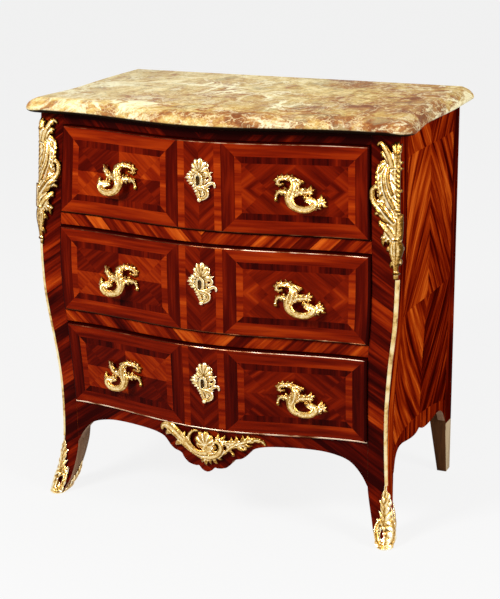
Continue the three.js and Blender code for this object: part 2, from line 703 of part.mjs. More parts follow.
// Apron mount: a long leaf, a shell cartouche and a fronded branch
const apronMountShares = {
  longLeaf: [
    [-0.46, 0.17, 0.015, 0.015], [-0.415, 0.235, 0.02, 0.025],
    [-0.345, 0.225, 0.03, 0.04], [-0.27, 0.165, 0.03, 0.045],
    [-0.18, 0.085, 0.03, 0.035], [-0.09, 0.02, 0.03, 0.028],
    [-0.02, -0.015, 0.03, 0.025], [0.018, -0.08, 0.015, 0.012],
  ],
  ring: [
    [-0.085, 0.23, 0.015, 0.008], [-0.145, 0.2, 0.02, 0.014],
    [-0.155, 0.13, 0.03, 0.018], [-0.12, 0.07, 0.03, 0.024],
    [-0.04, 0.035, 0.03, 0.028], [0.05, 0.05, 0.03, 0.03],
  ],
  shell: [
    [-0.05, 0.19, 0.02, 0.03], [0, 0.16, 0.03, 0.05],
    [0.05, 0.13, 0.035, 0.06], [0.1, 0.13, 0.035, 0.05],
  ],
  shellTip: [[0.01, 0.235, 0.015, 0.012], [0.03, 0.2, 0.02, 0.025], [0.05, 0.15, 0.03, 0.04]],
  crest: [[0.08, 0.17, 0.03, 0.04], [0.13, 0.18, 0.03, 0.03], [0.185, 0.22, 0.02, 0.012]],
  volute: [
    [0.13, 0.14, 0.03, 0.03], [0.135, 0.07, 0.035, 0.03],
    [0.095, 0.02, 0.035, 0.028], [0.005, 0, 0.03, 0.025],
  ],
  drop: [[0.075, 0.01, 0.03, 0.03], [0.09, -0.02, 0.025, 0.025], [0.122, -0.05, 0.015, 0.012]],
  branch: [
    [0.11, 0.02, 0.03, 0.018], [0.17, 0.055, 0.03, 0.02],
    [0.23, 0.1, 0.03, 0.024], [0.28, 0.15, 0.03, 0.035],
    [0.36, 0.18, 0.03, 0.035], [0.45, 0.215, 0.025, 0.03],
    [0.52, 0.205, 0.02, 0.022], [0.555, 0.165, 0.015, 0.012],
  ],
  frond: [[0.15, 0.17, 0.025, 0.03], [0.22, 0.165, 0.03, 0.04], [0.29, 0.175, 0.03, 0.04]],
  bud: [[0.245, 0.14, 0.03, 0.022], [0.25, 0.085, 0.025, 0.016], [0.268, 0.055, 0.02, 0.018]],
  curl: [[0.28, 0.13, 0.03, 0.02], [0.34, 0.145, 0.025, 0.018], [0.385, 0.11, 0.015, 0.01]],
};

function onFront(centreX, centreZ, proud) {
  return (across, up) => {
    const x = centreX + across;
    const z = centreZ + up;
    const reach = ridgeChamfer;
    const slope = (frontY(x + reach, z) - frontY(x - reach, z)) / (2 * reach);
    const normal = new THREE.Vector3(slope, -1, 0).normalize();
    return { point: new THREE.Vector3(x, frontY(x, z) - proud, z), normal };
  };
}

const apronMountPlace = onFront(0, apronMountCentre, 0);
const apronMount = joined(Object.values(apronMountShares)
  .map((rowShares) => scroll(rowShares, apronMountLength, apronMountPlace)))
  .subtract(solidOf(apronBoard(fitGap)));
addPiece(group, "apron_mount", geometryOf(apronMount), giltBronze);

// Handles: a fixed cast pull, laid out for the right-hand side of a drawer
const handleShares = {
  upperCurl: [
    [-0.41, 0.18, 0.03, 0.03], [-0.46, 0.25, 0.05, 0.04],
    [-0.41, 0.32, 0.06, 0.05], [-0.33, 0.36, 0.07, 0.045],
    [-0.23, 0.36, 0.08, 0.05], [-0.14, 0.32, 0.09, 0.065],
    [-0.1, 0.23, 0.1, 0.08], [-0.13, 0.13, 0.13, 0.08],
    [-0.17, 0.05, 0.16, 0.075],
  ],
  curlTip: [[-0.14, 0.31, 0.08, 0.05], [-0.06, 0.29, 0.06, 0.04], [0.02, 0.26, 0.02, 0.035]],
  branch: [
    [-0.17, 0.04, 0.15, 0.06], [-0.26, 0.06, 0.12, 0.045],
    [-0.34, 0.07, 0.09, 0.035], [-0.42, 0.05, 0.05, 0.035],
    [-0.47, -0.02, 0.03, 0.03], [-0.46, -0.1, 0.02, 0.035],
  ],
  ring: [
    [-0.17, 0.06, 0.16, 0.06], [-0.2, -0.03, 0.18, 0.06],
    [-0.17, -0.13, 0.2, 0.055], [-0.09, -0.21, 0.21, 0.05],
    [0.02, -0.26, 0.22, 0.045], [0.14, -0.25, 0.21, 0.045],
    [0.23, -0.19, 0.19, 0.05], [0.26, -0.11, 0.16, 0.045],
    [0.22, -0.05, 0.14, 0.035], [0.16, -0.05, 0.12, 0.03], [0.1, -0.03, 0.12, 0.04],
  ],
  arm: [
    [-0.15, 0.06, 0.15, 0.06], [-0.05, 0.09, 0.14, 0.055], [0.06, 0.09, 0.12, 0.055],
    [0.16, 0.08, 0.08, 0.05], [0.22, 0.12, 0.02, 0.03],
  ],
  leaf: [
    [0.22, -0.17, 0.17, 0.05], [0.32, -0.13, 0.12, 0.07],
    [0.4, -0.12, 0.07, 0.06], [0.48, -0.18, 0.02, 0.025],
  ],
  leafTip: [[0.3, -0.12, 0.12, 0.05], [0.36, -0.06, 0.07, 0.05], [0.38, 0.02, 0.02, 0.02]],
};

// Escutcheon outline around its keyhole, as shares of its height
const escutcheonShares = [
  [0.06, 0.52], [0, 0.5], [-0.14, 0.41], [-0.15, 0.32],
  [-0.09, 0.24], [-0.27, 0.14], [-0.33, 0.03], [-0.26, -0.06],
  [-0.21, -0.08], [-0.12, -0.13], [-0.15, -0.2], [-0.08, -0.29],
  [0.01, -0.35], [-0.06, -0.43], [0, -0.48], [0.1, -0.42],
  [0.15, -0.4], [0.24, -0.29], [0.24, -0.17], [0.27, -0.1],
  [0.36, -0.14], [0.38, -0.08], [0.37, -0.01], [0.28, -0.01],
  [0.31, 0.08], [0.3, 0.16], [0.34, 0.23], [0.24, 0.24], [0.28, 0.3], [0.24, 0.41], [0.17, 0.46],
];

// Drawers: one loop builds the box, the lock and the mounts of each
const drawerHalfWidth = openingHalfWidth - drawerSidePlay;
const drawerX = (z) => openingX(z) - drawerSidePlay;
const drawerRear = boardRear - drawerRearPlay;

const rimShare = 1 - frontEdgeRound / drawerHalfWidth;
const drawerColumnShares = [-1, ...spread(-rimShare, rimShare, frontSteps), 1];

// The curved board of a drawer front; growth moves its face forwards, edgeFall rounds its rim.
function frontBoard(low, high, growth, edgeFall) {
  const rows = [low, ...spread(low + frontEdgeRound, high - frontEdgeRound, 4), high];
  const face = (share, z) => {
    const x = share * drawerX(z);
    const atEdge = Math.abs(share) === 1 || z === low || z === high;
    return [x, frontY(x, z) - frontProud - growth + (atEdge ? edgeFall : 0), z];
  };
  const rear = (share, z) => {
    const x = share * drawerX(z);
    return [x, frontY(x, z) - frontProud + frontThickness, z];
  };
  return solidOf(board(drawerColumnShares, rows, face, rear));
}

function drawerFront(low, high, lock, keyhole) {
  const pocketHalf = lockWidth / 2 + fitGap;
  const pocket = block(
    [-pocketHalf, lock.front, high - lockHeight - fitGap],
    [pocketHalf, lock.front + frontThickness + cutOverrun, high + cutOverrun],
  );
  return geometryOf(frontBoard(low, high, 0, frontEdgeRound).subtract(solidOf(pocket)).subtract(keyhole));
}

function keyholeSolid(z, front, rear) {
  const radius = keyholeWidth / 2;
  const reach = keyholeHeight / 2 - radius;
  const shape = new THREE.Shape();
  shape.absarc(0, z + reach, radius, 0, Math.PI, false);
  shape.absarc(0, z - reach, radius, Math.PI, 2 * Math.PI, false);
  shape.closePath();
  const options = { depth: rear - front, bevelEnabled: false, curveSegments: 5 };
  const made = new THREE.ExtrudeGeometry(shape, options);
  return solidOf(made.rotateX(Math.PI / 2).translate(0, rear, 0));
}

openings.forEach((opening) => {
  const drawer = new THREE.Group();
  drawer.name = opening.name + "_drawer";
  group.add(drawer);
  const low = opening.low + drawerPlay;
  const high = opening.high - drawerPlay;
  const middle = (low + high) / 2;
  const keyZ = high - keyholeBelowTop;
  const lock = lockPlace(high);
  const lockFront = lock.front + fitGap;
  const faceY = frontY(0, keyZ) - frontProud;
  const keyhole = keyholeSolid(keyZ, faceY - escutcheonHeight / 2, lock.middle);
  addPiece(drawer, drawer.name + "_front", drawerFront(low, high, lock, keyhole), veneer);

  const boxLow = opening.low + fitGap;
  const sideHigh = opening.high - drawerSideDrop;
  const sideInner = drawerHalfWidth - drawerBoard;
  const frontRear = (x, z) => frontY(x, z) - frontProud + frontThickness + fitGap;
  const sideFront = (z) => Math.max(frontRear(sideInner, z), frontRear(drawerHalfWidth, z));
  const side = board(
    [0, 1],
    spread(boxLow, sideHigh, 6),
    (share, z) => [drawerHalfWidth, mix(sideFront(z), drawerRear, share), z],
    (share, z) => [sideInner, mix(sideFront(z), drawerRear, share), z],
  );
  addPair(drawer, drawer.name + "_side", side, oak);

  const boxHalf = sideInner - fitGap;
  const bottomLow = boxLow + drawerBottomRise;
  const bottomHigh = bottomLow + drawerBottomBoard;
  const bottomFront = (x) => Math.max(frontRear(x, bottomLow), frontRear(x, bottomHigh));
  const alignedColumns = drawerColumnShares.map((share) => share * drawerX(bottomLow));
  const bottomColumns = [-boxHalf, ...alignedColumns.filter((x) => Math.abs(x) < boxHalf), boxHalf];
  const bottom = plank(
    [...bottomColumns.map((x) => [x, bottomFront(x)]), [boxHalf, drawerRear], [-boxHalf, drawerRear]],
    bottomLow,
    bottomHigh,
  );
  addPiece(drawer, drawer.name + "_bottom", bottom, oak);
  const backCorners = [
    [-boxHalf, drawerRear - drawerBoard, bottomHigh + fitGap],
    [boxHalf, drawerRear, sideHigh - drawerBackDrop],
  ];
  addPiece(drawer, drawer.name + "_back", block(...backCorners), oak);

  const lockCase = solidOf(block(
    [-lockWidth / 2, lockFront, high - lockHeight],
    [lockWidth / 2, lockFront + lockDepth, high],
  ));
  const chamberHalf = boltThickness / 2 + fitGap;
  const chamber = solidOf(block(
    [-boltWidth / 2 - fitGap, lock.middle - chamberHalf, high - boltChamberHeight],
    [boltWidth / 2 + fitGap, lock.middle + chamberHalf, high + cutOverrun],
  ));
  const hollowCase = geometryOf(lockCase.subtract(chamber).subtract(keyhole));
  addPiece(drawer, opening.name + "_lock_case", hollowCase, iron);
  const boltTop = high - fitGap;
  const bolt = block(
    [-boltWidth / 2, lock.middle - boltThickness / 2, boltTop - boltHeight],
    [boltWidth / 2, lock.middle + boltThickness / 2, boltTop],
  );
  addPiece(drawer, opening.name + "_lock_bolt", bolt, iron);

  const seat = frontBoard(low, high, fitGap, 0);
  const handlePlace = onFront(handleCentreOffset, middle - handleDrop, frontProud);
  const handle = joined(Object.values(handleShares)
    .map((rowShares) => scroll(rowShares, handleLength, handlePlace))).subtract(seat);
  addPair(drawer, opening.name + "_handle", geometryOf(handle), giltBronze);

  const plateOutline = new THREE.Shape(escutcheonShares.map(([across, up]) =>
    new THREE.Vector2(across * escutcheonHeight, keyZ + up * escutcheonHeight)));
  const plate = new THREE.ExtrudeGeometry(plateOutline, { depth: frontThickness, bevelEnabled: false });
  plate.rotateX(Math.PI / 2).translate(0, faceY - escutcheonThickness + frontThickness, 0);
  const escutcheon = solidOf(plate).subtract(seat).subtract(keyhole);
  addPiece(drawer, opening.name + "_escutcheon", geometryOf(escutcheon), giltBronze);
});

export default group;
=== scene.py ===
# A bombé commode chest with a serpentine front: three long drawers, a marble top and gilt bronze mounts.
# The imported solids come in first, as the frame that every piece below is fitted to.
import math

import bmesh
import bpy
import numpy as np
from mathutils import Matrix, Vector


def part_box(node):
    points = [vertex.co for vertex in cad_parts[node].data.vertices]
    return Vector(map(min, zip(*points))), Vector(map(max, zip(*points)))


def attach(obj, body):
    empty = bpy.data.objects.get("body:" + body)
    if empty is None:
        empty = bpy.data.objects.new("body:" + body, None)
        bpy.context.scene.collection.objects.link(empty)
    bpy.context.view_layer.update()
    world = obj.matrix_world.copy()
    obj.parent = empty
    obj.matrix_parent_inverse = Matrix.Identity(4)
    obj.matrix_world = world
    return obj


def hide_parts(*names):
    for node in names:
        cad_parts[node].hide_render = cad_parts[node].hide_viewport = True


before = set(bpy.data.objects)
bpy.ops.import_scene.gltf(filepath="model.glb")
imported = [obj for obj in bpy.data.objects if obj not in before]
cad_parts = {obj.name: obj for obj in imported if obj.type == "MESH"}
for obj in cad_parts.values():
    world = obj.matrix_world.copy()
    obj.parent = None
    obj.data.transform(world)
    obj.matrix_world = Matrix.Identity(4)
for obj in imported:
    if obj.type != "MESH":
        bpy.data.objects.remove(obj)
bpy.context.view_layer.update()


# The camera stands to the right of the chest and a little above its top, with a long lens.
# Its place, tilt and slight roll follow the picture's perspective, and the shift keeps its framing.
camera_turn = math.radians(23.14)
camera_drop = math.radians(15.65)
camera_roll = math.radians(-0.475)
camera_distance = 3.2655
picture_height = 599
lens_in_pixels = 1545
pixels_off_centre = 22.5

backward = Vector((
    math.sin(camera_turn) * math.cos(camera_drop),
    -math.cos(camera_turn) * math.cos(camera_drop),
    math.sin(camera_drop),
))
level = Vector((math.cos(camera_turn), math.sin(camera_turn), 0))
upward = level.cross(-backward)
aim = Vector((0, 0.031, 0.430)) - 0.00827 * level + 0.0278 * upward
rolled_level = level * math.cos(camera_roll) + upward * math.sin(camera_roll)
rolled_upward = upward * math.cos(camera_roll) - level * math.sin(camera_roll)

bpy.ops.object.camera_add()
camera = bpy.context.object
camera.name = "camera"
turned = Matrix((rolled_level, rolled_upward, backward)).transposed().to_4x4()
camera.matrix_world = Matrix.Translation(aim + backward * camera_distance) @ turned
camera.data.sensor_fit = "VERTICAL"
camera.data.sensor_height = 36
camera.data.lens = lens_in_pixels / picture_height * 36
camera.data.shift_y = -pixels_off_centre / picture_height
bpy.context.scene.camera = camera
bpy.context.scene.view_settings.view_transform = "Standard"


# The floor and the air around the chest: a plain pale ground under broad soft lamps.
# Seen straight on it is nearly white, and it still takes the shadow of the chest.
def sign(operation):
    """What an arithmetic sign does between wires: it adds the Math node of that name."""
    return lambda self, other: self.finish.sum(operation, self, other)


class Wire:
    """A value in a finish. Sums that are written with it add the Math nodes that work them out."""

    __add__ = __radd__ = sign("ADD")
    __sub__ = sign("SUBTRACT")
    __mul__ = __rmul__ = sign("MULTIPLY")
    __truediv__ = sign("DIVIDE")
    __lt__ = sign("LESS_THAN")
    __gt__ = sign("GREATER_THAN")

    def __init__(self, finish, socket):
        self.finish = finish
        self.socket = socket

    def __rsub__(self, other):
        return self.finish.sum("SUBTRACT", other, self)

    def __abs__(self):
        return self.finish.sum("ABSOLUTE", self, 0)

    def clamped(self):
        return self.finish.node("ShaderNodeClamp", sockets={0: self})


class Finish:
    """A named surface finish: one shader, and the nodes that vary it. The air round the chest is one too."""

    def __init__(self, name, kind="materials", shader="Principled BSDF", **settings):
        self.material = getattr(bpy.data, kind).new(name)
        self.material.use_nodes = True
        self.tree = self.material.node_tree
        self.shader = self.tree.nodes[shader]
        self.set(**settings)

    def set(self, **settings):
        for name, value in settings.items():
            self.join(value, self.shader.inputs[name.replace("_", " ")])

    def join(self, value, socket):
        if isinstance(value, Wire):
            self.tree.links.new(value.socket, socket)
        else:
            socket.default_value = value

    def node(self, kind, settings=None, sockets=None, out=0):
        made = self.tree.nodes.new(kind)
        for name, value in (settings or {}).items():
            if name != "stops":
                setattr(made, name, value)
                continue
            elements = made.color_ramp.elements
            while len(elements) < len(value):
                elements.new(1)
            for element, (place, colour) in zip(elements, value):
                element.position = place
                element.color = (*colour, 1)
        for name, value in (sockets or {}).items():
            self.join(value, made.inputs[name])
        if isinstance(out, tuple):
            return [Wire(self, made.outputs[name]) for name in out]
        return Wire(self, made.outputs[out])

    def sum(self, operation, first, second):
        return self.node("ShaderNodeMath", {"operation": operation}, {0: first, 1: second})

    def place(self):
        coordinates = self.node("ShaderNodeTexCoord", out="Object")
        return self.node("ShaderNodeSeparateXYZ", sockets={0: coordinates}, out=("X", "Y", "Z"))

    def pick(self, mask, chosen, other):
        return self.node("ShaderNodeMix", {"data_type": "FLOAT"}, {0: mask, 2: other, 3: chosen})

    def blend(self, mask, chosen, other, way="MIX"):
        settings = {"data_type": "RGBA", "blend_type": way}
        return self.node("ShaderNodeMix", settings, {0: mask, 6: other, 7: chosen}, out=2)

    def spot(self, x, y, z):
        return self.node("ShaderNodeCombineXYZ", sockets={0: x, 1: y, 2: z})

    def cloud(self, spot, scale, detail=3, roughness=0.5, distortion=0):
        sockets = {"Vector": spot, "Scale": scale, "Detail": detail,
                   "Roughness": roughness, "Distortion": distortion}
        return self.node("ShaderNodeTexNoise", sockets=sockets)

    def ramp(self, value, stops):
        return self.node("ShaderNodeValToRGB", {"stops": stops}, {0: value})

    def bump(self, height, strength, distance):
        sockets = {"Height": height, "Strength": strength, "Distance": distance}
        return self.node("ShaderNodeBump", sockets=sockets)


white = (1, 1, 1, 1)
ground = Finish("pale ground", Base_Color=(0.5, 0.5, 0.5, 1), Roughness=0.9, Specular_IOR_Level=0.1)
seen = ground.node("ShaderNodeLightPath", out=("Is Camera Ray", "Is Glossy Ray", "Is Transmission Ray"))
glow = ground.node("ShaderNodeEmission", sockets={"Color": white, "Strength": 1})
matt = Wire(ground, ground.shader.outputs[0])
seen_share = 0.86 * (seen[0] + seen[1] + seen[2])
shown = ground.node("ShaderNodeMixShader", sockets={0: seen_share, 1: matt, 2: glow})
ground.join(shown, ground.tree.nodes["Material Output"].inputs[0])

bpy.ops.mesh.primitive_plane_add(size=60, location=(0, 0, -0.0003))
floor = bpy.context.object
floor.name = "floor"
floor.data.materials.append(ground.material)

air = Finish("pale room", "worlds", "Background", Color=(1, 0.99, 0.97, 1))
sky_seen = air.sum("MAXIMUM", *air.node("ShaderNodeLightPath", out=("Is Camera Ray", "Is Glossy Ray")))
air.set(Strength=0.74 * sky_seen + 0.17)
bpy.context.scene.world = air.material


def hang_lamp(name, place, width, height, power, colour=(1, 1, 1)):
    """A broad soft lamp that faces the middle of the chest."""
    bpy.ops.object.light_add(type="AREA", location=place)
    lamp = bpy.context.object
    lamp.name = name
    lamp.data.shape = "RECTANGLE"
    lamp.data.size = width
    lamp.data.size_y = height
    lamp.data.energy = power
    lamp.data.color = colour
    direction = Vector((0, 0, 0.45)) - Vector(place)
    lamp.rotation_euler = direction.to_track_quat("-Z", "Y").to_euler()


hang_lamp("front lamp", (-1.1, -2.4, 2.3), 0.8, 0.8, 104)
hang_lamp("side lamp", (2.8, -0.8, 1.8), 0.9, 1.2, 62)
hang_lamp("top lamp", (0.2, 0.5, 2.9), 1.6, 1.0, 12)


# The oak of the carcase and the drawer boxes stays as the frame has it: plain boards, rubbed and unpolished.
# Long boards have their grain from front to back, and backs and bottoms have it from side to side.
def plain_wood(name, lengthwise, dark, light):
    """Bare sawn wood with its grain along X, Y or Z."""
    wood = Finish(name, Roughness=0.62, Specular_IOR_Level=0.1)
    axes = wood.place()
    stretch = [55, 55, 55]
    stretch["XYZ".index(lengthwise)] = 3
    spot = wood.spot(*[axis * size for axis, size in zip(axes, stretch)])
    rings = wood.cloud(spot, 1, 5, 0.6, 0.3)
    pores = wood.cloud(wood.spot(*[axis * size * 9 for axis, size in zip(axes, stretch)]), 1, 2)
    between = [(a + b) / 2 for a, b in zip(dark, light)]
    wood.set(
        Base_Color=wood.ramp(rings * 0.8 + pores * 0.2, [(0.3, dark), (0.5, between), (0.68, light)]),
        Roughness=0.5 + 0.3 * pores,
        Normal=wood.bump(pores, 0.25, 0.0004),
    )
    return wood.material


def dress(piece, finishes, which=None):
    """Gives the piece its finishes; which(normal, middle) is the number of the one that a face takes."""
    piece.data.materials.clear()
    for finish in finishes:
        piece.data.materials.append(finish)
    if which:
        for face in piece.data.polygons:
            face.material_index = which(face.normal, face.center)


oak_lengthwise = plain_wood("oak, grain front to back", "Y", (0.17, 0.082, 0.028), (0.47, 0.28, 0.11))
oak_crosswise = plain_wood("oak, grain side to side", "X", (0.16, 0.077, 0.026), (0.45, 0.26, 0.10))
for name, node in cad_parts.items():
    if "runner" in name or "drawer_side" in name:
        dress(node, [oak_lengthwise])
    elif "board" in name or "back" in name or "drawer_bottom" in name:
        dress(node, [oak_crosswise])


# The locks stay too: a filed iron case in the back of each drawer front, with a bolt that rises from it.
# The iron is dull and grey, with finer scratches along its height.
iron = Finish("filed iron", Metallic=1)
x, y, z = iron.place()
scratch = iron.cloud(iron.spot(x * 900, y * 900, z * 40), 1, 2)
rust = iron.cloud(iron.spot(x, y, z), 60, 4, 0.6)
iron.set(
    Base_Color=iron.ramp(rust, [(0.35, (0.07, 0.05, 0.04)), (0.6, (0.17, 0.16, 0.15))]),
    Roughness=0.35 + 0.3 * scratch,
    Normal=iron.bump(scratch, 0.2, 0.0002),
)
for name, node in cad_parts.items():
    if "lock" in name:
        dress(node, [iron.material])


# The front posts run from the marble to the toe, each one bent timber that carries the swell of the body.
# Their faces are veneered in slanting strips, and the sawn inner faces of the legs are left bare.
swell_out = 0.028
swell_forward = 0.020
serpentine_depth = 0.055
side_hollow = 0.010
post_cant = 0.005
leg_thinned_inside = 0.019
leg_thinned_behind = 0.040
body_height = 0.820
waist_half_width = 0.360
rear_half_width = 0.375
opening_half_width = 0.325
back_plane = 0.253
apron_top = 0.209
ridge_top_y = -0.169
post_seam = -0.111
ridge_chamfer = 0.005


def smooth_line(table):
    """Draws a table of [share, value] rows as a smooth line, sampled finely."""
    shares, values = np.array(table, float).T
    last = len(shares) - 1
    before = np.maximum(np.arange(last + 1) - 1, 0)
    after = np.minimum(np.arange(last + 1) + 1, last)
    slopes = (values[after] - values[before]) / (shares[after] - shares[before])
    samples = np.linspace(shares[0], shares[-1], 821)
    k = np.clip(np.searchsorted(shares, samples) - 1, 0, last - 1)
    width = shares[k + 1] - shares[k]
    t = (samples - shares[k]) / width
    rise = t * t * (3 - 2 * t)
    start = t * (1 - t) ** 2 * width * slopes[k]
    end = t * t * (t - 1) * width * slopes[k + 1]
    heights = values[k] + (values[k + 1] - values[k]) * rise + start + end
    return lambda share: np.interp(share, samples, heights)


opening_out = smooth_line([
    [0, 0], [0.255, 0], [0.3, 0.012], [0.363, 0.036], [0.415, 0.08], [0.463, 0.12], [0.5, 0.19],
    [0.53, 0.27], [0.57, 0.345], [0.61, 0.38], [0.66, 0.38], [0.707, 0.34], [0.78, 0.26], [0.854, 0.17],
    [0.927, 0.08], [1, 0],
])
ridge_out = smooth_line([
    [0, 0.62], [0.03, 0.5], [0.06, 0.36], [0.1, 0.22], [0.14, 0.14], [0.19, 0.08], [0.25, 0.055],
    [0.3, 0.07], [0.34, 0.12], [0.4, 0.27], [0.46, 0.46], [0.51, 0.65], [0.55, 0.78], [0.6, 0.87],
    [0.67, 0.93], [0.78, 0.93], [0.9, 0.88], [1, 0.8],
])
ridge_forward = smooth_line([
    [0, 1.25], [0.025, 0.72], [0.06, 0.17], [0.12, -0.2], [0.19, -0.24], [0.29, -0.06], [0.34, 0.12],
    [0.39, 0.32], [0.49, 0.72], [0.59, 0.86], [0.66, 0.85], [0.76, 0.68], [0.84, 0.48], [0.92, 0.25], [1, 0],
])
bow = smooth_line([
    [0, 0.92], [0.2, 0.92], [0.38, 0.79], [0.5, 0.69], [0.62, 0.67], [0.75, 0.74], [0.88, 0.86], [1, 1],
])


def ridge_x(z):
    return waist_half_width + swell_out * ridge_out(z / body_height)


def ridge_y(z):
    return ridge_top_y - swell_forward * ridge_forward(z / body_height)


def opening_x(z):
    """Half the width of the drawer openings: their ends move out a little with the swell."""
    return opening_half_width + swell_out * opening_out(z / body_height)


def front_y(x, z):
    """The body's front surface: a serpentine that is fullest in the middle and turns back at the posts."""
    share = np.minimum(np.abs(x) / opening_x(z), 1)
    swell = (1 + np.cos(np.pi * share)) / 2
    towards_ridge = (np.abs(x) - opening_x(z)) / (ridge_x(z) - opening_x(z))
    cant = post_cant * (1 - np.clip(towards_ridge, 0, 1))
    return ridge_y(z) - cant - serpentine_depth * bow(z / body_height) * swell


def side_x(y, z):
    """The body's right side: hollow between the swelling ridge and the straight rear post."""
    forward = np.clip((back_plane - y) / (back_plane - ridge_y(z)), 0, 1)
    hollow = side_hollow * np.sin(np.pi * forward * forward) ** 2
    return rear_half_width + (ridge_x(z) - rear_half_width) * forward - hollow


leg_inner = smooth_line([
    [0, 1.55], [0.06, 1.3], [0.13, 0.92], [0.26, 0.54], [0.38, 0.25], [0.52, 0], [0.53, 0], [1, 0],
])
leg_rear = smooth_line([
    [0, 1], [0.14, 0.76], [0.24, 0.6], [0.4, 0.33], [0.59, 0.08], [0.68, 0], [0.7, 0], [1, 0],
])


def leg_inner_x(z):
    """The inner side of the right front post, which the leg leaves as it thins towards the toe."""
    return opening_x(z) + leg_thinned_inside * leg_inner(z / apron_top)


def post_plan(z, grow=0.0):
    """The right front post in plan at one height, from its rear inner corner round by the front."""
    inner = leg_inner_x(z) - grow
    rear = post_seam - leg_thinned_behind * leg_rear(z / apron_top) + grow
    ridge = ridge_x(z)
    front = ridge_y(z)
    spots = [(inner, rear)]
    for share in np.linspace(0, 1, 7):
        x = inner + grow + (ridge - ridge_chamfer - inner - grow) * share
        spots.append((inner if share == 0 else x, front_y(x, z) - grow))
    start = Vector((ridge - ridge_chamfer, front_y(ridge - ridge_chamfer, z)))
    end = Vector((side_x(front + ridge_chamfer, z), front + ridge_chamfer))
    for share in (0.25, 0.5, 0.75):
        middle = start.lerp(end, share) + Vector((0.7, -0.7)) * (0.0014 * math.sin(math.pi * share) + grow)
        spots.append(tuple(middle))
    for share in np.linspace(0, 1, 6):
        y = front + ridge_chamfer + (rear - grow - front - ridge_chamfer) * share
        spots.append((side_x(y, z) + grow, rear if share == 1 else y))
    return np.array(spots, float)


def take(piece):
    """Makes the piece the only one that the next steps work on."""
    bpy.ops.object.select_all(action="DESELECT")
    piece.select_set(True)
    bpy.context.view_layer.objects.active = piece


def turn_outward():
    """Turns every face of the active piece outward."""
    bpy.ops.object.mode_set(mode="EDIT")
    bpy.ops.mesh.select_all(action="SELECT")
    bpy.ops.mesh.normals_make_consistent(inside=False)
    bpy.ops.object.mode_set(mode="OBJECT")


def places(piece):
    spots = np.empty(len(piece.data.vertices) * 3)
    piece.data.vertices.foreach_get("co", spots)
    return spots.reshape(-1, 3)


def move_to(piece, spots):
    piece.data.vertices.foreach_set("co", np.ascontiguousarray(spots, float).ravel())
    piece.data.update()


def net(name, columns, rows):
    """A flat net of quads, and how far along and how far up it each spot is, from 0 to 1."""
    bpy.ops.mesh.primitive_grid_add(x_subdivisions=columns, y_subdivisions=rows, size=1)
    piece = bpy.context.object
    piece.name = piece.data.name = name
    spots = places(piece)
    return piece, spots[:, 0] + 0.5, spots[:, 1] + 0.5


def sleeve(name, plan, heights):
    """A closed skin round a timber or a casting, from its plan at each height, with both ends filled."""
    plans = np.array([plan(z) for z in heights])
    around = plans.shape[1]
    piece, turn, row = net(name, around, len(heights) - 1)
    turn = np.rint(turn * around).astype(int) % around
    row = np.rint(row * (len(heights) - 1)).astype(int)
    move_to(piece, np.column_stack([plans[row, turn], heights[row]]))
    bpy.ops.object.mode_set(mode="EDIT")
    bpy.ops.mesh.select_all(action="SELECT")
    bpy.ops.mesh.remove_doubles(threshold=0.000001)
    bpy.ops.mesh.select_all(action="SELECT")
    bpy.ops.mesh.fill_holes(sides=0)
    turn_outward()
    return piece


def ease_edges(piece, width):
    """Takes the sharpness off the arrises, as a block of abrasive paper does."""
    bevel = piece.modifiers.new("eased edges", "BEVEL")
    bevel.width = width
    bevel.segments = 2
    bevel.limit_method = "ANGLE"
    bevel.angle_limit = math.radians(50)
    settle(piece)


def settle(piece):
    """Applies what is on the piece and shades it smooth up to its arrises."""
    take(piece)
    for modifier in list(piece.modifiers):
        bpy.ops.object.modifier_apply(modifier=modifier.name)
    bpy.ops.object.shade_smooth_by_angle(angle=math.radians(38))


def copied(piece, name):
    twin = piece.copy()
    twin.data = piece.data.copy()
    twin.name = twin.data.name = name
    bpy.context.scene.collection.objects.link(twin)
    return twin


def stand_in(piece, node, body="carcase"):
    """Puts a finished piece in the place of its solid, on the body that carries it."""
    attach(piece, body)
    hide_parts(node)


def pair_off(piece):
    """Gives a right-hand piece its left-hand twin, and puts both in the place of their solids."""
    twin = copied(piece, piece.name.replace("right", "left"))
    move_to(twin, places(twin) * (-1, 1, 1))
    twin.data.flip_normals()
    for one in (piece, twin):
        stand_in(one, one.name.rpartition("_")[0])


def figured(veneer, across, along, tone, seed, polish=0.025, contrast=1.0):
    """Figured veneer: soft dark and orange flames along the grain under a thin shellac polish."""
    broad = veneer.cloud(veneer.spot(across * 62, along * 4.5, seed), 1, 3, 0.5, 0.4)
    streak = veneer.cloud(veneer.spot(across * 210, along * 9, seed + 4.3), 1, 3, 0.55, 0.3)
    pores = veneer.cloud(veneer.spot(across * 1300, along * 60, seed), 1, 2)
    figure = 0.78 * (broad - 0.5) + 0.34 * (streak - 0.5) + 0.10 * (pores - 0.5)
    colour = veneer.ramp(0.5 + contrast * figure + tone, [
        (0.26, (0.022, 0.0006, 0.0002)),
        (0.41, (0.075, 0.0024, 0.0003)),
        (0.53, (0.175, 0.0085, 0.0007)),
        (0.66, (0.330, 0.0300, 0.0018)),
        (0.84, (0.600, 0.1050, 0.0080)),
    ])
    veneer.set(
        Base_Color=colour,
        Roughness=0.32 + 0.2 * (streak - 0.5) + 0.1 * (pores - 0.5),
        Specular_IOR_Level=polish / 4,
        Coat_Weight=polish,
        Coat_Roughness=0.08,
        Normal=veneer.bump(streak * 0.6 + pores * 0.4, 0.05, 0.0004),
    )
    return veneer.material


def chance(veneer, number, seed):
    """A different steady value from 0 to 1 for each whole number."""
    return veneer.node("ShaderNodeTexWhiteNoise", {"noise_dimensions": "2D"},
                       {"Vector": veneer.spot(number, seed, 0)})


def floor_of(value):
    return value.finish.sum("FLOOR", value, 0)


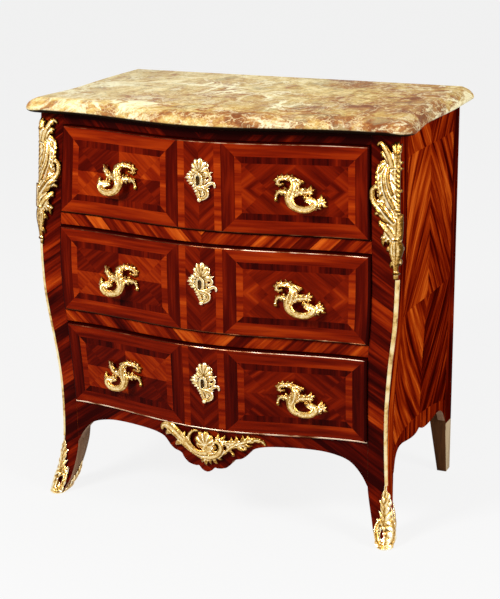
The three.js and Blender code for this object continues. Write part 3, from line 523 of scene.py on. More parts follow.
def slanting_strips(name, spread, painted_shade):
    """Veneer in strips that slant to the middle, with tones that differ by spread, plus a painted shade given
    by the last argument as a function of height.
    """
    veneer = Finish(name)
    x, y, z = veneer.place()
    slant = abs(x) * 0.57 + z * 0.82
    strip = floor_of(slant / 0.036)
    tone = (chance(veneer, strip, 3.1) - 0.5) * spread + painted_shade(z)
    return figured(veneer, slant, abs(x) * 0.82 - z * 0.57, tone, strip * 1.7 + (x > 0) * 5)


# The strips are painted darker towards the foot of the leg, a painted shade.
post_front_finish = slanting_strips("veneer in slanting strips", 0.24,
                                    lambda z: -0.085 - ((0.26 - z) * 5).clamped() * 0.10)
post_side = Finish("veneer along the post")
x, y, z = post_side.place()
post_side_finish = figured(post_side, y, z, 0.10 - ((z - 0.42) * 6).clamped() * 0.20, (x > 0) * 3.0, 0, 1.3)

bare_wood = plain_wood("bare carcase wood", "Z", (0.22, 0.10, 0.05), (0.58, 0.36, 0.22))

post_foot, post_head = 0.0043, 0.8197


def post_face(normal, middle):
    """Slanting strips in front, an upright grain outside, and bare wood on the rest."""
    inward = normal.x * math.copysign(1, middle.x) < -0.6 and abs(normal.y) < 0.25
    if abs(normal.z) > 0.9 or normal.y > 0.35 or inward:
        return 2
    return 0 if -normal.y > abs(normal.x) else 1


right_post = sleeve("front_post_right_veneered", post_plan, np.linspace(post_foot, post_head, 91))
ease_edges(right_post, 0.0008)
dress(right_post, [post_front_finish, post_side_finish, bare_wood], post_face)
pair_off(right_post)


# The rear posts are square and straight above, and taper from the inside to small square feet.
# Outside they are veneered with the grain upright, in a darker painted shade; the faces under the chest are
# bare wood painted dark as shade, and below the veneer outside the bare wood is painted pale as lit.
rear_inner = 0.333
rear_front = 0.208
taper_top = apron_top * 0.77
rear_foot_width, rear_foot_depth = 0.021, 0.028
rear_veneer = Finish("veneer up the rear post")
x, y, z = rear_veneer.place()
# The rear post's veneer is set darker, a painted shade.
rear_veneer_finish = figured(rear_veneer, y, z, -0.12, 7.0 + (x > 0) * 3, 0, 1.2)
# The bare leg is painted dark as shade on the faces under the chest, and pale as lit on its outer face below
# the veneer.
shaded_bare_leg = plain_wood("bare leg wood in painted shade", "Z", (0.050, 0.017, 0.005), (0.165, 0.062, 0.018))
lit_pale_leg_edge = plain_wood("bare leg edge in painted light", "Z", (0.38, 0.26, 0.14), (0.66, 0.50, 0.30))


def rear_plan(z):
    """The right rear post in plan, from its front inner corner round by the outside to the back."""
    taper = np.clip(1 - z / taper_top, 0, 1)
    inner = rear_inner + (rear_half_width - rear_foot_width - rear_inner) * taper
    front = rear_front + (back_plane - rear_foot_depth - rear_front) * taper
    middle_y = (front + back_plane) / 2
    return [(inner, front), (side_x(front, z), front), (side_x(middle_y, z), middle_y),
            (rear_half_width, back_plane), (inner, back_plane)]


def rear_face(normal, middle):
    """Veneer outside above the leg, a pale painted-light edge below it, and bare wood painted dark as shade
    on the other faces.
    """
    if normal.x * math.copysign(1, middle.x) > 0.6:
        return 0 if middle.z > 0.105 + (middle.y - 0.215) * 0.6 else 2
    return 1


rear_heights = np.concatenate([np.linspace(0, taper_top, 12), np.linspace(taper_top, post_head, 40)[1:]])
right_rear = sleeve("rear_post_right_tapered", rear_plan, rear_heights)
ease_edges(right_rear, 0.0012)
dress(right_rear, [rear_veneer_finish, shaded_bare_leg, lit_pale_leg_edge], rear_face)
pair_off(right_rear)


# The side panels fill the space between the posts, bent to the swell and cut to a scalloped lower edge.
# Each is quartered from four leaves of veneer that meet in long diamonds, over a band along the edge.
def curved_board(name, columns, rows, face, back):
    """A board shaped to the body: its outer face is laid out as a net, then drawn back to its inner face."""
    board, along, up = net(name, columns, rows)
    move_to(board, np.column_stack(face(along, up)))
    bpy.ops.object.mode_set(mode="EDIT")
    bpy.ops.mesh.select_all(action="SELECT")
    bpy.ops.mesh.extrude_region_move()
    bpy.ops.object.mode_set(mode="OBJECT")
    drawn = np.array([vertex.select for vertex in board.data.vertices])
    spots = places(board)
    spots[drawn] = np.column_stack(back(*spots[drawn].T))
    move_to(board, spots)
    turn_outward()
    return board


side_edge = smooth_line([[0, 0.8], [0.1, 0.765], [0.25, 0.756], [0.42, 0.768], [0.6, 0.785],
                         [0.76, 0.775], [0.9, 0.715], [1, 0.6]])
fit_gap = 0.0003
panel_front = post_seam + fit_gap
panel_rear = rear_front - fit_gap
panel_middle = (panel_front + panel_rear) / 2
panel_thickness = 0.016

seam_height = 0.452
upper_seam = 0.765
quartered = Finish("quartered veneer")
x, y, z = quartered.place()
from_middle = abs(y - panel_middle)
fold = quartered.sum("MINIMUM", abs(z - seam_height), 2 * (upper_seam - seam_height) - (z - seam_height))
diamond = from_middle * 0.79 + fold * 0.61
band = z + from_middle * from_middle * 0.9 < 0.197
run = quartered.pick(band, y, diamond)
length = quartered.pick(band, z, from_middle * 0.61 - fold * 0.79)
quarter = (y > panel_middle) * 1.0 + (z > seam_height) * 2.0 + (z > upper_seam) * 4.0
quarter_tone = (chance(quartered, quarter, 1.7) - 0.5) * 0.12 - (y > panel_middle) * 0.05
leaf = quartered.cloud(quartered.spot(diamond * 22, from_middle * 2, quarter), 1, 2)
# The panel is painted lighter towards the top and darker towards its foot, a painted light and shade; the
# rear quarters are set a little darker.
side_tone = quartered.pick(band, 0.0, quarter_tone + (leaf - 0.5) * 0.7) + (z - 0.5) * 0.14 + 0.05
quartered_finish = figured(quartered, run, length, side_tone, quarter * 0.31 + (x > 0) * 2, 0, 1.35)


def panel_face(u, v):
    """The outer face of the right panel, from the front post to the rear one and from its edge up."""
    y = panel_front + (panel_rear - panel_front) * u
    low = apron_top * side_edge(np.abs(2 * u - 1))
    z = low + (post_head - low) * v
    return side_x(y, z), y, z


right_panel = curved_board("side_panel_right_quartered", 72, 60, panel_face,
                           lambda x, y, z: (x - panel_thickness, y, z))
ease_edges(right_panel, 0.0008)
dress(right_panel, [quartered_finish, bare_wood], lambda normal, middle: 0 if normal.x > 0.4 else 1)
pair_off(right_panel)


# The rails between and above the drawers follow the serpentine, with strips that slant to the middle.
# Each has a slot in its underside for the bolt of the drawer below it.
rail_back = -0.139
bolt_slot = (0.0286, 0.0066, 0.018)
divider_middles = (0.401, 0.607)
divider_half = 0.014
painted_gap_shadow_half_width = 0.0024
strips = Finish("rail veneer in slanting strips")
x, y, z = strips.place()
slant = (abs(x) - z) * 0.707
strip = floor_of(slant / 0.027)
# Thin bands at the drawer gaps and the top of the top rail under the marble are painted darker: a painted
# shadow in the gaps and under the marble's nose.
from_lower, from_upper = [abs(abs(z - height) - divider_half) < painted_gap_shadow_half_width for height in divider_middles]
painted_gap_and_marble_shadow = from_lower + from_upper + (z > 0.7975) * 0.58 + (z > 0.812) * 0.5
strips_finish = figured(strips, slant, (abs(x) + z) * 0.707,
                        (chance(strips, strip, 8.2) - 0.5) * 0.34 + 0.04 - painted_gap_and_marble_shadow * 0.5,
                        strip * 1.3 + (x > 0) * 4)


def front_net(low, high, gap, proud=0):
    """Lays a net on the body's front between two heights, as wide as the openings less a gap at each end."""
    def face(u, v):
        z = low + (high - low) * v
        x = (opening_x(z) - gap) * (2 * u - 1)
        return x, front_y(x, z) - proud, z

    return face


def front_or_not(normal, middle):
    """The first finish goes on what looks forward, and the second one on the rest."""
    return 0 if normal.y < -0.25 else 1


def rail(name, node, low, high, slot_y):
    board = curved_board(name, 80, 3, front_net(low, high, fit_gap),
                         lambda x, y, z: (x, np.full_like(x, rail_back), z))
    ease_edges(board, 0.0006)
    cut_out(board, block((0, slot_y, low), bolt_slot))
    dress(board, [strips_finish, oak_crosswise], front_or_not)
    stand_in(board, node)


def block(middle, size):
    bpy.ops.mesh.primitive_cube_add(size=1, location=middle, scale=size)
    bpy.ops.object.transform_apply()
    return bpy.context.object


def cut_out(piece, shape):
    """Cuts the hole that another shape fills, and takes that shape away."""
    cut = piece.modifiers.new("cut", "BOOLEAN")
    cut.operation = "DIFFERENCE"
    cut.solver = "EXACT"
    cut.object = shape
    settle(piece)
    bpy.data.objects.remove(shape)


def bolt_place(node):
    low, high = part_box(node)
    return (low.y + high.y) / 2


rail("lower_divider_veneered", "lower_divider_rail", 0.387, 0.415, bolt_place("bottom_lock_bolt"))
rail("upper_divider_veneered", "upper_divider_rail", 0.593, 0.621, bolt_place("middle_lock_bolt"))
rail("top_rail_veneered", "top_front_rail", 0.799, post_head, bolt_place("top_lock_bolt"))


# The apron closes the front below the drawers. Its lower edge is fretted: a pendant in the middle,
# a scallop on each side of it, and long arches that run into the legs.
apron_edge_table = [
    [0, 0.55], [0.018, 0.556], [0.037, 0.575], [0.052, 0.605], [0.074, 0.598], [0.1, 0.602],
    [0.13, 0.615], [0.16, 0.655], [0.175, 0.699], [0.197, 0.713], [0.227, 0.724], [0.258, 0.756],
    [0.283, 0.8], [0.307, 0.833], [0.344, 0.853], [0.4, 0.866], [0.49, 0.871], [0.615, 0.868],
    [0.72, 0.856], [0.8, 0.832], [0.87, 0.794], [0.915, 0.742], [0.967, 0.641], [1, 0.545],
]
arched = smooth_line([row for row in apron_edge_table if row[0] > 0.17])


front_thickness = 0.024


def set_back(x, y, z):
    """Where the inner face of the apron or of a drawer front lies behind its outer face."""
    return x, y + front_thickness, z


def apron_face(u, v):
    share = np.abs(2 * u - 1)
    low = apron_top * np.where(share > 0.18, arched(share), np.interp(share, *np.transpose(apron_edge_table)))
    z = low + (apron_top - low) * v
    x = (opening_x(z) - fit_gap) * (2 * u - 1)
    return x, front_y(x, z), z


lower_run_heights = (0.4172, 0.6232)
bead_brass = Finish("bead of bright brass", Metallic=1)
x, y, z = bead_brass.place()
tarnish = bead_brass.cloud(bead_brass.spot(x, y, z), 28, 3)
# The lower runs of the middle and top beads, and the left part of the beads above the apron, are painted
# darker, a painted shade.
in_middle_run, in_top_run = [abs(z - height) < 0.003 for height in lower_run_heights]
painted_shade_left_half = ((0.05 - x) * 8).clamped() * (z > 0.25)
bead_brass.set(
    Base_Color=bead_brass.ramp(tarnish - (in_middle_run + in_top_run) * 0.3 - painted_shade_left_half * 0.3, [
        (0.20, (0.05, 0.012, 0.004)),
        (0.38, (0.26, 0.09, 0.035)),
        (0.47, (0.70, 0.38, 0.21)),
        (0.57, (1.0, 0.76, 0.55)),
    ]),
    Roughness=0.2 + 0.2 * tarnish,
)


bead_radius = 0.0009


def bead_round(line, name, body, closed):
    """A thin half-sunk brass bead along an edge, on a line of (x, z, y)."""
    curve = bpy.data.curves.new(name, "CURVE")
    curve.dimensions = "3D"
    curve.bevel_depth = bead_radius
    curve.bevel_resolution = 2
    curve.use_fill_caps = True
    spline = curve.splines.new("POLY")
    spline.points.add(len(line) - 1)
    spline.use_cyclic_u = closed
    for point, (x, z, y) in zip(spline.points, line):
        point.co = (x, y, z, 1)
    bead = bpy.data.objects.new(name, curve)
    bpy.context.scene.collection.objects.link(bead)
    take(bead)
    bpy.ops.object.convert(target="MESH")
    bead = bpy.context.object
    settle(bead)
    dress(bead, [bead_brass.material])
    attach(bead, body)


apron = curved_board("front_apron_fretted", 220, 14, apron_face, set_back)
ease_edges(apron, 0.0006)
# The apron's strips are set darker than the posts', a painted shade.
dark_strips = slanting_strips("apron veneer in slanting strips", 0.2, lambda z: -0.125)
dress(apron, [dark_strips, bare_wood], front_or_not)
stand_in(apron, "front_apron")
bead_round([(x, apron_top - 0.0014, front_y(x, apron_top) - 0.0002)
            for x in np.linspace(-0.324, 0.324, 80)], "apron_bead", "carcase", False)


# The marble top is one slab, sawn to the plan of the body and a finger's width larger all round.
# Its edge is moulded to a rounded nose that is undercut below, and the top is polished.
marble_overhang = 0.028
marble_thickness = 0.030
marble_back = 0.257
nose = smooth_line([[0, 0.45], [0.04, 0.64], [0.1, 0.83], [0.2, 0.965], [0.33, 1], [0.46, 0.96],
                    [0.58, 0.875], [0.7, 0.75], [0.8, 0.6], [0.9, 0.37], [0.96, 0.2], [1, 0.07]])


def marble_plan(z):
    """The slab in plan at one height of its moulded edge, from the back by the right round to the left."""
    offset = marble_overhang * min(float(nose((z - body_height) / marble_thickness)), 1)
    corner_x = ridge_x(body_height)
    corner_y = ridge_y(body_height)
    right = []
    for y in np.linspace(back_plane, corner_y, 14):
        right.append((side_x(y, body_height) + offset, marble_back if y == back_plane else y))
    for turn in np.linspace(0, math.pi / 2, 9)[1:-1]:
        right.append((corner_x + offset * math.cos(turn), corner_y - offset * math.sin(turn)))
    for x in np.linspace(corner_x, 0, 40):
        right.append((x, front_y(x, body_height) - offset))
    left = [(-x, y) for x, y in reversed(right[:-1])]
    return np.array(right + left)


marble = Finish("polished marble", Specular_IOR_Level=0.003)
x, y, z = marble.place()
warp = marble.cloud(marble.spot(x, y, z), 9, 4, 0.6)
drift = marble.spot(x * 1.1 + y * 0.5 + warp * 0.12, y * 1.05 - x * 0.35 + warp * 0.16, z * 2.4)
broad = marble.cloud(drift, 3.1, 2, 0.5)
patches = marble.cloud(drift, 10, 8, 0.70, 0.7)
grit = marble.cloud(marble.spot(x, y, z), 210, 4, 0.7)
speckle = marble.cloud(marble.spot(x, y, z), 60, 5, 0.72)
redder = ((x + 0.14) * 2.2).clamped()
tone = 1.15 * patches + 0.60 * broad + 0.12 * redder - 0.425 + (speckle - 0.5) * 0.46 + (grit - 0.5) * 0.34
colour = marble.ramp(tone, [
    (0.30, (0.86, 0.70, 0.34)),
    (0.40, (0.62, 0.43, 0.140)),
    (0.50, (0.50, 0.29, 0.085)),
    (0.57, (0.38, 0.160, 0.050)),
    (0.70, (0.22, 0.070, 0.024)),
])
olive = ((marble.cloud(drift, 8, 5, 0.62, 0.4) - 0.55) * 7).clamped()
colour = marble.blend(olive * 0.75, (0.36, 0.32, 0.17, 1), colour)
vein_width = marble.cloud(drift, 4.5, 3) * 2.4 - 0.85
veins = vein_width - abs(marble.cloud(drift, 6, 8, 0.70, 0.9) - 0.5) * 11
hair = 0.8 - abs(marble.cloud(drift, 17, 5, 0.64, 0.5) - 0.5) * 30
cracks = 0.75 - abs(marble.cloud(drift, 24, 4, 0.6, 0.8) - 0.5) * 34
colour = marble.blend((cracks * 0.8).clamped(), (0.20, 0.13, 0.07, 1), colour)
colour = marble.blend((veins * 1.9 + (grit - 0.5) * 1.4).clamped(), (0.97, 0.90, 0.58, 1), colour)
colour = marble.blend((hair * 0.9).clamped(), (0.84, 0.70, 0.38, 1), colour)
# The lowest part of the moulded edge is painted near black, a painted shadow under the nose; the band is
# deeper along the front than at the corners and sides.
in_front = ((-0.165 - y) * 60).clamped()
under_corner = ((abs(x) - 0.360) * 40).clamped()
painted_shadow_under_nose = ((0.8279 + (in_front - under_corner) * 0.0028 - z) / 0.0022).clamped()
colour = marble.blend(painted_shadow_under_nose, (0.010, 0.005, 0.003, 1), colour)
marble.set(Base_Color=colour, Roughness=0.16 + 0.25 * (grit - 0.4))

marble_heights = body_height + marble_thickness * np.linspace(0, 1, 25)
marble_top = sleeve("marble_top_moulded", marble_plan, marble_heights)
settle(marble_top)
dress(marble_top, [marble.material])
stand_in(marble_top, "marble_top")


# The drawer fronts are bowed boards that stand a little proud, with a rounded rim and a bright bead round it.
# Each is laid out in veneer: a mitred border, a cross-grained band and four matched quarters on either side
# of a middle strip whose grain meets in chevrons under the keyhole plate.
front_proud = 0.0075
front_gap = 0.0018
drawers = {"bottom": (0.210, 0.386), "middle": (0.416, 0.592), "top": (0.622, 0.798)}
key_rise = 0.010
keyhole_radius = 0.0035
keyhole_half_rise = 0.006
rim_width = 0.004


def front_end(z):
    """Half the width of a drawer front, which fills its opening but for a thin gap."""
    return opening_x(z) - front_gap


quarters_x = 0.1845
quarters_half_width = 0.1395
quarters_half_height = 0.088


def drawer_veneer(name, middle, seed, painted_shade):
    layout = Finish("drawer veneer, " + name)
    z = layout.place()[2]
    x = layout.node("ShaderNodeAttribute", {"attribute_name": "across"}, out="Fac")
    side = abs(x)
    bright_quarters = 1 - (x > 0) * 0.85
    px = abs(side - quarters_x)
    pz = abs(z - middle)
    dx = quarters_half_width - px
    dz = quarters_half_height - pz
    edge = layout.sum("MINIMUM", dx, dz)
    in_strip = side < 0.045
    in_bands = side > 0.031
    in_border = edge < 0.027
    in_cross = edge < 0.040
    upright = dx < dz
    member = layout.pick(upright, z, x)
    quarters_across = px * 0.62 + pz * 0.785
    quarters_along = px * 0.785 - pz * 0.62
    chevron = z * 0.72 - side * 0.69

    def by_field(bands, strip, border, cross, quarters):
        """Picks the value of the field that a point is in."""
        in_middle = layout.pick(in_bands, bands, strip)
        outside = layout.pick(in_border, border, layout.pick(in_cross, cross, quarters))
        return layout.pick(in_strip, in_middle, outside)

    across = by_field(z, chevron, edge, member, quarters_across)
    along = by_field(side, z * 0.69 + side * 0.72, member, edge, quarters_along)
    segment = floor_of(member / 0.031)
    quarter = (x > 0) * 1.0 + (side > quarters_x) * 2.0 + (z > middle) * 4.0
    leaf = layout.cloud(layout.spot(quarters_across * 34, quarters_along * 4, seed), 1, 2)
    leaning = abs((side > quarters_x) * 1.0 - (z > middle) * 1.0)
    quarter_tone = (leaning * 0.16 - 0.06) * bright_quarters + (chance(layout, quarter, seed) - 0.5) * 0.05
    quarter_tone = quarter_tone + (leaf - 0.5) * 0.25
    cross_tone = (chance(layout, segment, seed) - 0.5) * 0.16 + upright * 0.19 - 0.10
    border_tone = 0.05 - upright * 0.14
    band_tone = 0.10 + (chance(layout, floor_of(z / 0.028), seed) - 0.5) * 0.12
    # The ends and the top edge of each front are painted darker, a painted shade in the gap round the proud
    # front.
    painted_rim_shade = (side > 0.3205) * 0.30 + (z - middle > 0.0862) * 0.4
    tone = by_field(band_tone, -0.02, border_tone, cross_tone, quarter_tone) + painted_shade - painted_rim_shade
    member_seed = upright * 2.0 + (x > 0) * 4.0 + in_strip * 9.0 + seed
    return figured(layout, across, along, tone, member_seed, 0.03, 0.66)


def keyhole_shape(keyhole_z):
    """A keyhole-shaped cutter: a bar with round ends, long enough to go through the front."""
    bpy.ops.mesh.primitive_cylinder_add(
        vertices=24, radius=keyhole_radius, depth=0.08, location=(0, -0.225, keyhole_z),
        rotation=(math.pi / 2, 0, 0))
    bpy.ops.object.transform_apply()
    cutter = bpy.context.object
    spots = places(cutter)
    spots[:, 2] += np.where(spots[:, 2] > keyhole_z, keyhole_half_rise, -keyhole_half_rise)
    move_to(cutter, spots)
    return cutter


layout_half_width = 0.324
lock_pocket = (0.0706, 0.060)
above_lock = 0.0203
veneer_seeds = {"bottom": 3.0, "middle": 11.0, "top": 19.0}
# The lower drawers' veneer is set darker, a painted shade that deepens downwards.
painted_drawer_shades = {"bottom": -0.055, "middle": -0.02, "top": 0.0}
for name, (low, high) in drawers.items():
    middle = (low + high) / 2
    board = curved_board(name + "_drawer_front_veneered", 84, 22,
                         front_net(low, high, front_gap, front_proud), set_back)
    bpy.ops.object.mode_set(mode="EDIT")
    bpy.ops.mesh.select_mode(type="EDGE")
    bpy.ops.mesh.select_all(action="DESELECT")
    mesh = bmesh.from_edit_mesh(board.data)
    for edge in mesh.edges:
        facing = sorted(face.normal.y for face in edge.link_faces)
        edge.select_set(facing[0] < -0.7 and facing[1] > -0.5)
    bmesh.update_edit_mesh(board.data)
    bpy.ops.mesh.bevel(offset=rim_width, segments=5, affect="EDGES")
    bpy.ops.mesh.select_mode(type="VERT")
    bpy.ops.object.mode_set(mode="OBJECT")
    lock_low, lock_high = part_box(name + "_lock_case")
    pocket_size = Vector((*lock_pocket, lock_high.z - lock_low.z + above_lock))
    pocket_middle = Vector((0, lock_low.y - fit_gap + 0.030, lock_low.z - fit_gap + pocket_size.z / 2))
    cut_out(board, block(pocket_middle, pocket_size))
    cut_out(board, keyhole_shape(middle + key_rise))
    spots = places(board)
    across = (spots[:, 0] * layout_half_width / front_end(spots[:, 2])).astype(np.float32)
    board.data.attributes.new("across", "FLOAT", "POINT").data.foreach_set("value", across)

    def drawer_face(normal, place, middle=middle):
        on_edge = abs(place.x) > 0.3 or abs(place.z - middle) > 0.086
        return 0 if normal.y < -0.3 or (on_edge and normal.y < 0.5) else 1

    veneer = drawer_veneer(name, middle, veneer_seeds[name], painted_drawer_shades[name])
    dress(board, [veneer, oak_crosswise], drawer_face)
    stand_in(board, name + "_drawer_front", name + "_drawer")

    inset = 0.0012
    top_inset = 0.0030
    end_inset = 0.0034
    ends = np.linspace(-1, 1, 60)
    rises = np.linspace(high - top_inset, low + inset, 18)
    rim = [(x * (front_end(high) - end_inset), high - top_inset, 0.0005 if abs(x) < 1 else 0.0010)
           for x in ends]
    rim += [(front_end(z) - end_inset, z, 0.0010) for z in rises[1:-1]]
    rim += [(-x * (front_end(low) - end_inset), low + inset, 0.0012) for x in ends]
    rim += [(end_inset - front_end(z), z, 0.0010) for z in rises[::-1][1:-1]]
    line = [(x, z, front_y(x, z) - front_proud + sunk) for x, z, sunk in rim]
    bead_round(line, name + "_drawer_bead", name + "_drawer", True)


# The pulls are fixed castings of gilt bronze: a scrolled branch with a ring that the fingers hold.
# Each is modelled flat, across, up and out from the wood, as fluted bars, leaf tips and knobs that melt
# together, and is then bent to the bow of its drawer. The left one is mirrored and has one leaf more.
gilt = Finish("gilt bronze", Metallic=1)
x, y, z = gilt.place()
relief = gilt.node("ShaderNodeAttribute", {"attribute_name": "relief"}, out="Fac")
worn = gilt.cloud(gilt.spot(x, y, z), 120, 4, 0.6)
in_sabot = z < 0.122
on_plate = (abs(x) < 0.05) * (z > 0.25)
on_upper_mount = (x > 0.3) * (z > 0.65)
crumple = gilt.cloud(gilt.spot(x, y, z), 330, 2, 0.5, 1.2)
chased = gilt.cloud(gilt.spot(x, y, z), 1100, 2, 0.6)
# Raised parts take a paler colour and hollows a darker one: burnish and patina, partly a painted highlight
# and a painted shade. The sabots, keyhole plates and upper corner mounts are set a little darker as a whole.
height = 0.48 + relief * 0.55 + (worn - 0.5) * 0.3 + (crumple - 0.5) * 0.6
height = height - in_sabot * 0.11 - on_plate * 0.06 - on_upper_mount * 0.035
gilt.set(
    Base_Color=gilt.ramp(height, [
        (0.22, (0.09, 0.040, 0.005)),
        (0.40, (0.58, 0.30, 0.055)),
        (0.52, (1.0, 0.74, 0.31)),
        (0.66, (1.0, 0.92, 0.68)),
    ]),
    Roughness=0.34 - 0.2 * height,
    Normal=gilt.bump(crumple * 0.8 + chased * 0.2, 0.55, 0.0011),
)


def chase(piece, depth=0.0009):
    """Works out how far each spot stands above its surroundings or lies below, for burnish and patina, which
    also serve as painted highlight on raised parts and painted shade in hollows.
    """
    if "relief" in piece.data.attributes:
        piece.data.attributes.remove(piece.data.attributes["relief"])
    spots = places(piece)
    ends = np.empty(len(piece.data.edges) * 2, int)
    piece.data.edges.foreach_get("vertices", ends)
    ends = ends.reshape(-1, 2)
    count = np.bincount(ends.ravel(), minlength=len(spots))[:, None].clip(1)
    smooth = spots.copy()
    for _ in range(9):
        total = np.zeros_like(smooth)
        for axis in range(3):
            total[:, axis] = (np.bincount(ends[:, 0], smooth[ends[:, 1], axis], len(spots))
                              + np.bincount(ends[:, 1], smooth[ends[:, 0], axis], len(spots)))
        smooth = total / count
    outward = np.empty(len(spots) * 3)
    piece.data.vertex_normals.foreach_get("vector", outward)
    height = ((spots - smooth) * outward.reshape(-1, 3)).sum(axis=1)
    relief = piece.data.attributes.new("relief", "FLOAT", "POINT")
    relief.data.foreach_set("value", np.clip(height / depth, -1, 1).astype(np.float32))


def flowing(rows, steps):
    """Runs a smooth line through rows of numbers, with steps between each two."""
    rows = np.array(rows, float)
    ends = np.vstack([2 * rows[0] - rows[1], rows, 2 * rows[-1] - rows[-2]])
    line = []
    for k in range(1, len(ends) - 2):
        a, b, c, d = ends[k - 1:k + 3]
        for t in np.arange(steps) / steps:
            line.append(0.5 * (2 * b + (c - a) * t + (2 * a - 5 * b + 4 * c - d) * t ** 2
                               + (3 * b - a - 3 * c + d) * t ** 3))
    line.append(rows[-1])
    return np.array(line)


class Wax:
    """A flat wax model of a mount, in thousandths of its length: across, up, out and half width."""

    def __init__(self, length):
        self.unit = length / 1000
        self.spots = []
        self.faces = []

    def bar(self, rows, flute=0.3, flat=0.8, sides=14, steps=6):
        """A fluted bar along a smooth line."""
        line = flowing(rows, steps)
        turn = 2 * math.pi * np.arange(sides) / sides
        groove = 1 - flute * np.exp(-((turn - math.pi / 2) / 0.42) ** 2)
        self.skin(line, turn, np.ones(sides), groove * flat, 0)

    def blade(self, rows, lobes, frill, flat, sweep):
        """A broad leaf with a sunk rib: its sides are cut into lobes that sweep towards its tip."""
        line = flowing(rows, max(6, math.ceil(9 * lobes / (len(rows) - 1))))
        turn = 2 * math.pi * np.arange(26) / 26
        aside = np.abs(np.cos(turn))
        share = np.linspace(0, lobes, len(line))[:, None]
        notch = np.abs(np.cos(math.pi * (share - 0.4 * aside))) ** 4
        rib = 1 - 0.45 * np.exp(-((turn - math.pi / 2) / 0.3) ** 2)
        spread = 1 - frill * notch * aside ** 2
        height = flat * rib * (1 - 0.55 * notch * aside)
        self.skin(line, turn, spread, height, sweep * aside ** 2)

    def skin(self, line, turn, spread, height, forward):
        """Wraps rings of wax round a line of (across, up, out, half width)."""
        middle = line[:, :3]
        half = np.maximum(line[:, 3], 4)[:, None]
        tangent = np.gradient(middle, axis=0)
        tangent /= np.linalg.norm(tangent, axis=1)[:, None] + 1e-9
        sideways = np.cross(tangent, (0, 0, 1))
        sideways /= np.linalg.norm(sideways, axis=1)[:, None] + 1e-9
        out = np.cross(sideways, tangent)
        ring = (middle[:, None] + sideways[:, None] * (half * np.cos(turn) * spread)[:, :, None]
                + out[:, None] * (half * np.sin(turn) * height)[:, :, None]
                + tangent[:, None] * (half * forward * np.ones(len(turn)))[:, :, None])
        first = len(self.spots)
        self.spots += list(ring.reshape(-1, 3))
        sides = len(turn)
        count = len(line)
        for k in range(count - 1):
            for s in range(sides):
                a, b = first + k * sides + s, first + k * sides + (s + 1) % sides
                self.faces.append((a, b, b + sides, a + sides))
        self.faces.append(tuple(range(first + sides - 1, first - 1, -1)))
        end = first + (count - 1) * sides
        self.faces.append(tuple(range(end, end + sides)))

    def tip(self, start, end, half, bend, lift):
        """One pointed lobe of a leaf."""
        start, end = np.array(start, float), np.array(end, float)
        aside = np.cross(end - start, (0, 0, 1)) * bend
        rows = []
        for t, width in ((0, 0.75), (0.3, 1), (0.6, 0.8), (0.85, 0.45), (1, 0.16)):
            spot = start + (end - start) * t + aside * math.sin(math.pi * t)
            spot[2] += lift * math.sin(math.pi * t)
            rows.append([*spot, half * width])
        self.bar(rows, flute=-0.25, flat=0.62, sides=10, steps=3)

    def knob(self, across, up, out, radius):
        rows = [[across + radius * shift, up, out, radius * math.sqrt(max(1 - shift ** 2, 0.05))]
                for shift in (-0.97, -0.7, -0.35, 0, 0.35, 0.7, 0.97)]
        self.bar(rows, flute=0, flat=1, sides=12, steps=1)

    def tips(self, rows, bend, lift):
        """Lobes in rows of seven numbers: where each springs, where it ends, and its half width."""
        for row in rows:
            self.tip(row[:3], row[3:6], row[6], bend, lift)

    def shell(self, foot, rays, sections):
        """Ribs from one foot, each with its angle and reach, in sections of share, out and half width."""
        for angle, reach in rays:
            ray = reach * np.array([math.cos(math.radians(angle)), math.sin(math.radians(angle))])
            rows = [[*(foot + ray * share), out, half] for share, out, half in sections]
            self.bar(rows, flute=-0.3, flat=0.6)

    def cast(self, name, grain):
        """Melts the bars and tips into one closed skin and smooths it."""
        mesh = bpy.data.meshes.new(name)
        mesh.from_pydata([tuple(spot * self.unit) for spot in self.spots], [], self.faces)
        piece = bpy.data.objects.new(name, mesh)
        bpy.context.scene.collection.objects.link(piece)
        take(piece)
        turn_outward()
        melt = piece.modifiers.new("melt", "REMESH")
        melt.mode = "VOXEL"
        melt.voxel_size = grain
        soften = piece.modifiers.new("soften", "SMOOTH")
        soften.factor = 0.5
        soften.iterations = 3
        for modifier in list(piece.modifiers):
            bpy.ops.object.modifier_apply(modifier=modifier.name)
        bpy.ops.object.shade_smooth()
        return piece


def on_front(spots, centre_x, centre_z, proud):
    """Lays flat spots (across, up, out) on the bowed front."""
    x = centre_x + spots[:, 0]
    z = centre_z + spots[:, 1]
    slope = (front_y(x + 0.005, z) - front_y(x - 0.005, z)) / 0.010
    scale = np.sqrt(slope ** 2 + 1)
    return np.column_stack([
        x + slope / scale * spots[:, 2],
        front_y(x, z) - proud - spots[:, 2] / scale,
        z,
    ])


def laid(casting, name, place):
    """A copy of a flat casting, bent to the surface that carries it."""
    piece = copied(casting, name)
    move_to(piece, place(places(piece)))
    piece.data.flip_normals()
    dress(piece, [gilt.material])
    chase(piece)
    return piece


